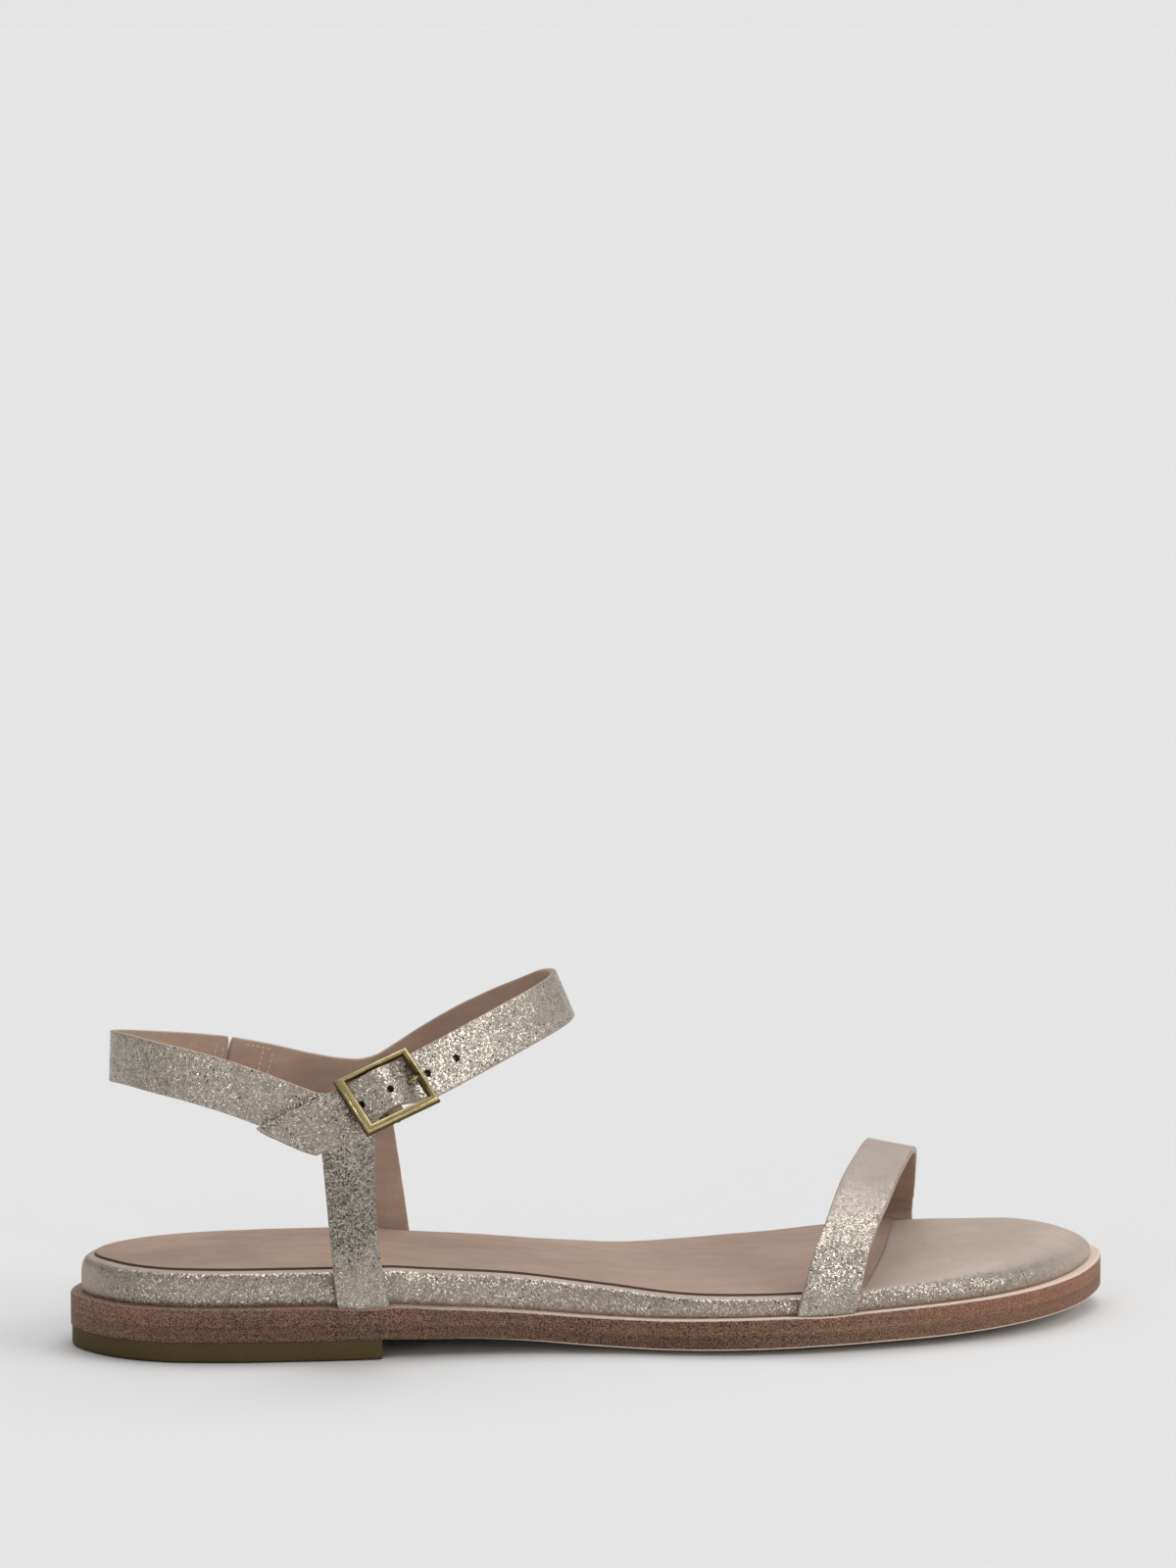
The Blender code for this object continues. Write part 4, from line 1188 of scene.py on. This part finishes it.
def quarter(name, rows, riser, finishes):
    """A strap with the riser that it stands on, joined along the strap's lower edge."""
    points = []
    grid = add_rows(points, rows)
    side, back, front, top_back, top_front, waist = RISERS[riser]
    x, y, z = rows[:, 0].T
    held = np.flatnonzero((side * y > 0) & (top_back <= x) & (x <= top_front) & (z < BUCKLE_MIDDLE[2]))
    top = [grid[k][0] for k in range(held[0], held[-1] + 1)]
    if x[held[0]] > x[held[-1]]:
        top = top[::-1]
    hanging = riser_rows(np.array([points[k] for k in top]), side, back, front, waist)
    hanging = add_rows(points, creased(hanging, RISER_CREASES[riser], (0.0, side, 0.0)))
    return strap_object(name, points, sheet_faces(grid) + sheet_faces([top, *hanging]), -side, finishes)


def build_toe_strap(finishes):
    """One band from the lateral ledge over the crest to the medial ledge."""
    legs = []
    for side, *stations in TOE_STRAP_LEGS:
        x = np.array(stations)
        z = midsole_top(x, np.full(len(x), side * LEDGE_SHARE)) - FOOT_SUNK
        z[2:] = footbed_top(x[2:], np.ones(2)) + CLEAR_OF_FOOTBED
        corners = np.stack([x, side_y(x, side, STAND_OFF), z], axis=1)
        legs.append(np.hstack([corners[::2], corners[1::2]]))
    path = Path(np.vstack([legs[0], TOE_STRAP, legs[1][::-1]]), axes=6)
    sections = path.at(np.linspace(0.0, path.length, TOE_STRAP_SECTIONS + 1))
    across = np.linspace(0.0, 1.0, STRAP_COLUMNS + 1)[:, None]
    rows = [(1 - across) * row[:3] + across * row[3:] for row in sections]
    points = []
    grid = add_rows(points, creased(rows, TOE_STRAP_CREASES, TOE_STRAP_PRESS))
    return strap_object("toe_strap_piece", points, sheet_faces(grid), -1, finishes)


def placement(x_axis, y_axis, z_axis, origin):
    """A placement from three axes and an origin in millimetres."""
    matrix = np.eye(4)
    matrix[:3] = np.stack([x_axis, y_axis, z_axis, origin * MM], axis=1)
    return Matrix(matrix.tolist())


def buckle_placement(along, out):
    """Placement on the buckle's middle line, with X along the strap, Y up across it and Z outwards."""
    return placement(BUCKLE_ALONG, BUCKLE_ACROSS, BUCKLE_OUT, at_buckle(along, 0, out))


def cutting_tool(name, shaped, place, finish):
    mesh = bpy.data.meshes.new(name)
    shaped.to_mesh(mesh)
    shaped.free()
    made = new_object(name, mesh, finish)
    made.matrix_world = place
    return made


def box(name, size, place, finish):
    shaped = bmesh.new()
    bmesh.ops.create_cube(shaped, size=1.0, matrix=Matrix.Diagonal((*(s * MM for s in size), 1.0)))
    return cutting_tool(name, shaped, place, finish)


def rod(name, low_radius, radius, length, place, finish):
    shaped = bmesh.new()
    size = {"radius1": low_radius * MM, "radius2": radius * MM, "depth": length * MM}
    bmesh.ops.create_cone(shaped, cap_ends=True, segments=ROD_SIDES, **size)
    return cutting_tool(name, shaped, place, finish)


def tube(points, radii, sides=TUBE_SIDES):
    """Points and faces of a round bar along a line, with its own radius at each point and closed ends."""
    line = np.asarray(points, float)
    ahead = unit(np.gradient(line, axis=0))
    side = unit(np.cross(ahead[0], OFF_ALL_BARS))
    angles = np.linspace(0, 2 * math.pi, sides, endpoint=False)
    rings = []
    for place, forward, radius in zip(line, ahead, radii):
        side = unit(side - (side @ forward) * forward)
        other = np.cross(forward, side)
        rings += [place + radius * (math.cos(a) * side + math.sin(a) * other) for a in angles]
    return rings, bar_faces(len(line), sides)


def build_heel_lift(finish):
    """A flat lift cut straight at its breast, with its lower rim rounded off and its breast corners eased."""
    loop = sole_loop(HEEL_INSET)[0]
    back = HEEL_BREAST - HEEL_CORNER
    behind = loop[:, 0] < back - HEEL_CORNER_SPARE
    first = np.flatnonzero(behind & ~np.roll(behind, 1))[0]
    around = np.roll(loop, -first, axis=0)[: behind.sum()]
    medial, lateral = (side_y(HEEL_BREAST, side, HEEL_INSET) - side * HEEL_CORNER for side in (1, -1))
    turn = np.linspace(0.0, math.pi / 2, HEEL_CORNER_STEPS)
    ahead, aside = HEEL_CORNER * np.cos(turn), HEEL_CORNER * np.sin(turn)
    medial_corner = np.stack([back + ahead, medial + aside], axis=1)
    lateral_corner = np.stack([back + aside, lateral - ahead], axis=1)
    outline = np.vstack([medial_corner, around, lateral_corner])
    points, worn = [], []
    for inset, level, wear in HEEL_EDGE:
        ring = outline + inset * inward(outline)
        points += list(np.column_stack([ring, np.full(len(ring), level)]))
        worn += [wear] * len(ring)
    return solid("heel_lift_piece", points, bar_faces(len(HEEL_EDGE), len(outline)), finish, worn=worn)


def build_sock(finish, raw_edge):
    """The leather sock on the footbed, trimmed to a gently curved front edge."""
    sock = sole_layer("insole_piece", finish, sock_bottom, sock_top, SOCK_EDGE, SOCK_INSET)
    (x0, y0), (x1, y1) = SOCK_FRONT
    t = np.linspace(*SOCK_CUT_SPAN, SOCK_CUT_STEPS)
    ahead = unit(np.array([y1 - y0, x0 - x1]))
    bow = SOCK_BULGE * (1 - (2 * t - 1) ** 2)
    curve = np.stack([x0 + t * (x1 - x0), y0 + t * (y1 - y0)], axis=1) + bow[:, None] * ahead
    ring = np.vstack([curve, curve[[-1, 0]] + SOCK_CUT_REACH * ahead])
    points = [np.append(p, level) for level in (0.0, SOCK_CUT_HEIGHT) for p in ring]
    cut(sock, solid("ahead_of_sock", points, bar_faces(2, len(ring)), raw_edge))
    return sock


def build_ankle_strap(finishes, raw_edge):
    """The medial quarter with its strap holes, which narrow inwards, and the prong's way through it."""
    made = quarter("medial_quarter_piece", ankle_strap_rows(), "medial", finishes)
    lengths = np.linspace(0.0, ANKLE_PATH.length / 2, HOLE_SEARCH_STEPS)
    from_buckle = np.linalg.norm(ANKLE_PATH.at(lengths)[:, :3] - BUCKLE_MIDDLE, axis=1)
    start = lengths[np.argmin(from_buckle)]
    for number, offset in enumerate(HOLES_FROM_BUCKLE, 1):
        middle, along, across, normal = strap_frame(ANKLE_PATH, np.array([start + offset]))
        middle = middle + (hump(middle)[:, None] - STRAP_THICKNESS / 2) * normal
        place = placement(along[0], across[0], normal[0], middle[0])
        depth = STRAP_THICKNESS + 2 * GAP
        cut(made, rod(f"strap_hole_{number}", HOLE_NECK_RADIUS, HOLE_DIAMETER / 2, depth, place, raw_edge))
    shaft = prong_line()[-PRONG_HOLE_STEPS:]
    points, faces = tube(shaft, [PRONG_RADIUS + PRONG_HOLE_SPARE] * len(shaft))
    cut(made, solid("prong_hole", points, faces, raw_edge))
    return made


def build_heel_strap(finishes, raw_edge):
    """The lateral quarter with the slot for the prong in its tab."""
    made = quarter("lateral_quarter_piece", heel_strap_rows(), "lateral", finishes)
    slot_size = (TAB_SLOT[1] - TAB_SLOT[0], 2 * (PRONG_RADIUS + GAP) + GAP, SLOT_DEPTH)
    cut(made, box("tab_slot", slot_size, buckle_placement(sum(TAB_SLOT) / 2, -CENTRE_BAR_DROP), raw_edge))
    return made


def at_frame(along, across, out):
    """A point of the buckle's frame, which leans back a little from the strap at its upper bar."""
    above = out - BAR_LEVEL
    sine, cosine = math.sin(FRAME_TILT), math.cos(FRAME_TILT)
    lifted = BAR_LEVEL + FRAME_LIFT + above * cosine - across * sine
    return at_buckle(along, across * cosine + above * sine, lifted)


def build_buckle(finish):
    """The frame as one moulding mitred at its corners, with the centre bar that drops under the strap."""
    points, worn = [], []
    half_length, half_height = (FRAME_LENGTH + FRAME_SPARE) / 2, (FRAME_HEIGHT + FRAME_SPARE) / 2
    for share, height, wear in BAR_PROFILE:
        rear, front = share * REAR_BAR - half_length, half_length - share * FRONT_BAR
        lower, upper = share * LOWER_BAR - half_height, half_height - share * UPPER_BAR
        for along, across in ((rear, lower), (front, lower), (front, upper), (rear, upper)):
            points.append(at_frame(along, across, GAP + height * FRAME_BAR))
            worn.append(wear)
    faces = ring_faces(len(BAR_PROFILE), 4, closed=True)
    leg, reach = half_height - LOWER_BAR / 2, CENTRE_BAR_RADIUS
    drop = ((leg, reach - CENTRE_BAR_DROP), (leg - reach, -CENTRE_BAR_DROP))
    line = [at_frame(0, leg, BAR_LEVEL)]
    line += [at_buckle(0, across, out) for across, out in drop]
    line += [at_buckle(0, -across, out) for across, out in drop[::-1]]
    line += [at_frame(0, -leg, BAR_LEVEL)]
    centre_bar, sides = tube(line, [CENTRE_BAR_RADIUS] * len(line))
    faces += [tuple(len(points) + i for i in side) for side in sides]
    points += centre_bar
    worn += [CENTRE_BAR_WEAR] * len(centre_bar)
    made = solid("buckle_frame_piece", points, faces, finish, worn=worn)
    notch = buckle_placement(half_length - FRONT_BAR - NOTCH_BACK, GAP + FRAME_BAR + FRAME_LIFT)
    cut(made, rod("prong_notch", NOTCH_RADIUS, NOTCH_RADIUS, NOTCH_LENGTH, notch, finish))
    return made


def build_prong(finish):
    line = prong_line()
    shares = [1.0] * (len(line) - len(PRONG_TIP)) + list(PRONG_TIP)
    points, faces = tube(line, [PRONG_RADIUS * share for share in shares], PRONG_SIDES)
    return solid("buckle_prong_piece", points, faces, finish, worn=[PRONG_WEAR] * len(points))


def stitches(name, path, rows, from_end, finish, top_row=None):
    """Rows of short stitches across a strap's lining at distances from one end, and one row along it."""
    t = np.linspace(0.0, 1.0, STITCH_STEPS)
    bow = (2 * t - 1) ** 4
    half_width = STRAP_WIDTH / 2
    places = []
    for distance, low, high in rows:
        for number in range(int((high - low) * half_width / STITCH_PITCH)):
            height = low * half_width + number * STITCH_PITCH + t * STITCH_LENGTH
            places.append((np.full(len(t), distance), height))
    if top_row:
        first, last, share = top_row
        for number in range(int((last - first) / STITCH_PITCH)):
            distances = first + number * STITCH_PITCH + t * STITCH_LENGTH
            places.append((distances, np.full(len(t), share * half_width)))
    points, faces = [], []
    for distances, height in places:
        centre, _, across, normal = strap_frame(path, path.length - distances if from_end else distances)
        line = centre + across * height[:, None] + normal * (STITCH_DIP * bow - STITCH_BED)[:, None]
        stitch, sides = tube(line, STITCH_RADIUS * np.sqrt(1 - STITCH_TAPER * bow), STITCH_SIDES)
        faces += [tuple(len(points) + i for i in side) for side in sides]
        points += stitch
    return solid(name, points, faces, finish)


def build_sandal():
    foil = foil_leather("foil_leather", **STRAP_FOIL)
    padded_foil = foil_leather("padded_foil_leather", **FOOTBED_FOIL)
    leathers = {name: smooth_leather(name, *tones) for name, tones in LEATHERS.items()}
    soles = {name: burnished_edge(name, *tones) for name, tones in SOLE_LEATHERS.items()}
    brass, sewn = antique_brass(), thread()
    raw_edge = leathers["raw_edge"]
    straps = (foil, leathers["lining_leather"], leathers["turned_edge"])

    kept(build_heel_lift(heel_rubber()), "heel_lift")
    outsole = (soles["burnished_leather"], outsole_bottom, outsole_top, OUTSOLE_EDGE, 0.0, BOTTOM_WEAR)
    kept(sole_layer("outsole_piece", *outsole), "outsole")
    midsole = (soles["natural_leather"], outsole_top, midsole_top, MIDSOLE_EDGE, 0.0, LEDGE_WEAR)
    kept(sole_layer("midsole_piece", *midsole), "midsole")
    footbed = (padded_foil, midsole_top, footbed_top, FOOTBED_EDGE, FOOTBED_INSET)
    piece = sole_layer("footbed_piece", *footbed, toe_edge=FOOTBED_TOE_EDGE)
    kept(piece, "footbed")
    kept(build_sock(leathers["sock_leather"], leathers["skived_edge"]), "insole")

    kept(build_toe_strap(straps), "toe_strap")
    kept(build_heel_strap(straps, raw_edge), "lateral_quarter")
    kept(build_ankle_strap(straps, raw_edge), "medial_quarter")
    kept(build_buckle(brass), "buckle_frame")
    kept(build_prong(brass), "buckle_prong")
    heel_thread = stitches("heel_strap_stitches", HEEL_PATH, HEEL_STITCHES, False, sewn)
    kept(heel_thread, "lateral_quarter")
    ankle_thread = stitches("ankle_strap_stitches", ANKLE_PATH, ANKLE_STITCHES, True, sewn, TOP_STITCHES)
    kept(ankle_thread, "medial_quarter")


def build_floor():
    mesh = bpy.data.meshes.new("floor")
    corners = [(x * FLOOR_HALF, y * FLOOR_HALF, 0.0) for x, y in ((-1, -1), (1, -1), (1, 1), (-1, 1))]
    mesh.from_pydata(corners, [], [(0, 1, 2, 3)])
    new_object("floor", mesh, paper_floor())


def build_light():
    """A pale dome with a dim room behind the camera and round soft boxes, all far away to light evenly."""
    world = bpy.data.worlds.new("studio")
    bpy.context.scene.world = world
    world.use_nodes = True
    look = Nodes(world.node_tree)
    direction = look.add("TexCoord").outputs["Generated"]
    height = look.add("SeparateXYZ", {"Vector": direction}).outputs["Z"]

    def towards(axis):
        return look.vector("DOT_PRODUCT", direction, unit(np.array(axis)), output="Value")

    sky = look.ease(height, *HIGH_RISE, look.ease(height, *LOW_RISE, SKY_LOW, SKY_SIDE), SKY_HIGH)
    behind_camera = look.times(look.ease(towards(ROOM_AXIS), *ROOM_RIM), look.ease(height, *ROOM_RISE))
    radiance = look.ease(behind_camera, 0.0, 1.0, sky, ROOM)
    for axis, radius, strength in SOFT_BOXES:
        outer, inner = np.cos(np.radians([radius + SOFT_BOX_RIM, radius]))
        radiance = look.sum("ADD", radiance, look.ease(towards(axis), outer, inner, 0.0, strength))
    background = look.tree.nodes["Background"]
    look.feed(background.inputs["Strength"], radiance)
    look.feed(background.inputs["Color"], (1.0, 1.0, 1.0, 1.0))


def build_camera():
    """The photograph's viewpoint: the target falls on its pixel at the measured scale."""
    tilt, turn = math.radians(CAMERA_TILT), math.radians(CAMERA_TURN)
    right = np.array([math.cos(turn), -math.sin(turn), 0.0])
    ahead = np.array([math.sin(turn), math.cos(turn), 0.0])
    up = np.array([0.0, 0.0, 1.0])
    focal = CAMERA_SCALE * CAMERA_DISTANCE
    across = (TARGET_PIXEL[0] - PHOTO_SIZE[0] / 2) / CAMERA_SCALE
    dip = tilt - math.atan((TARGET_PIXEL[1] - PHOTO_SIZE[1] / 2) / focal)
    away = CAMERA_DISTANCE * (math.sin(tilt) * up - math.cos(tilt) * ahead)
    place = np.array(CAMERA_TARGET) + away - across * right
    back = math.sin(dip) * up - math.cos(dip) * ahead
    lens = bpy.data.cameras.new("camera")
    lens.sensor_width = SENSOR
    lens.lens = SENSOR * focal / max(PHOTO_SIZE)
    lens.clip_start, lens.clip_end = CLIP_START, CLIP_END
    made = bpy.data.objects.new("camera", lens)
    bpy.context.scene.collection.objects.link(made)
    made.matrix_world = placement(right, np.cross(back, right), back, place)
    bpy.context.scene.camera = made


build_sandal()
build_floor()
build_light()
build_camera()
bpy.context.scene.view_settings.view_transform = "Standard"
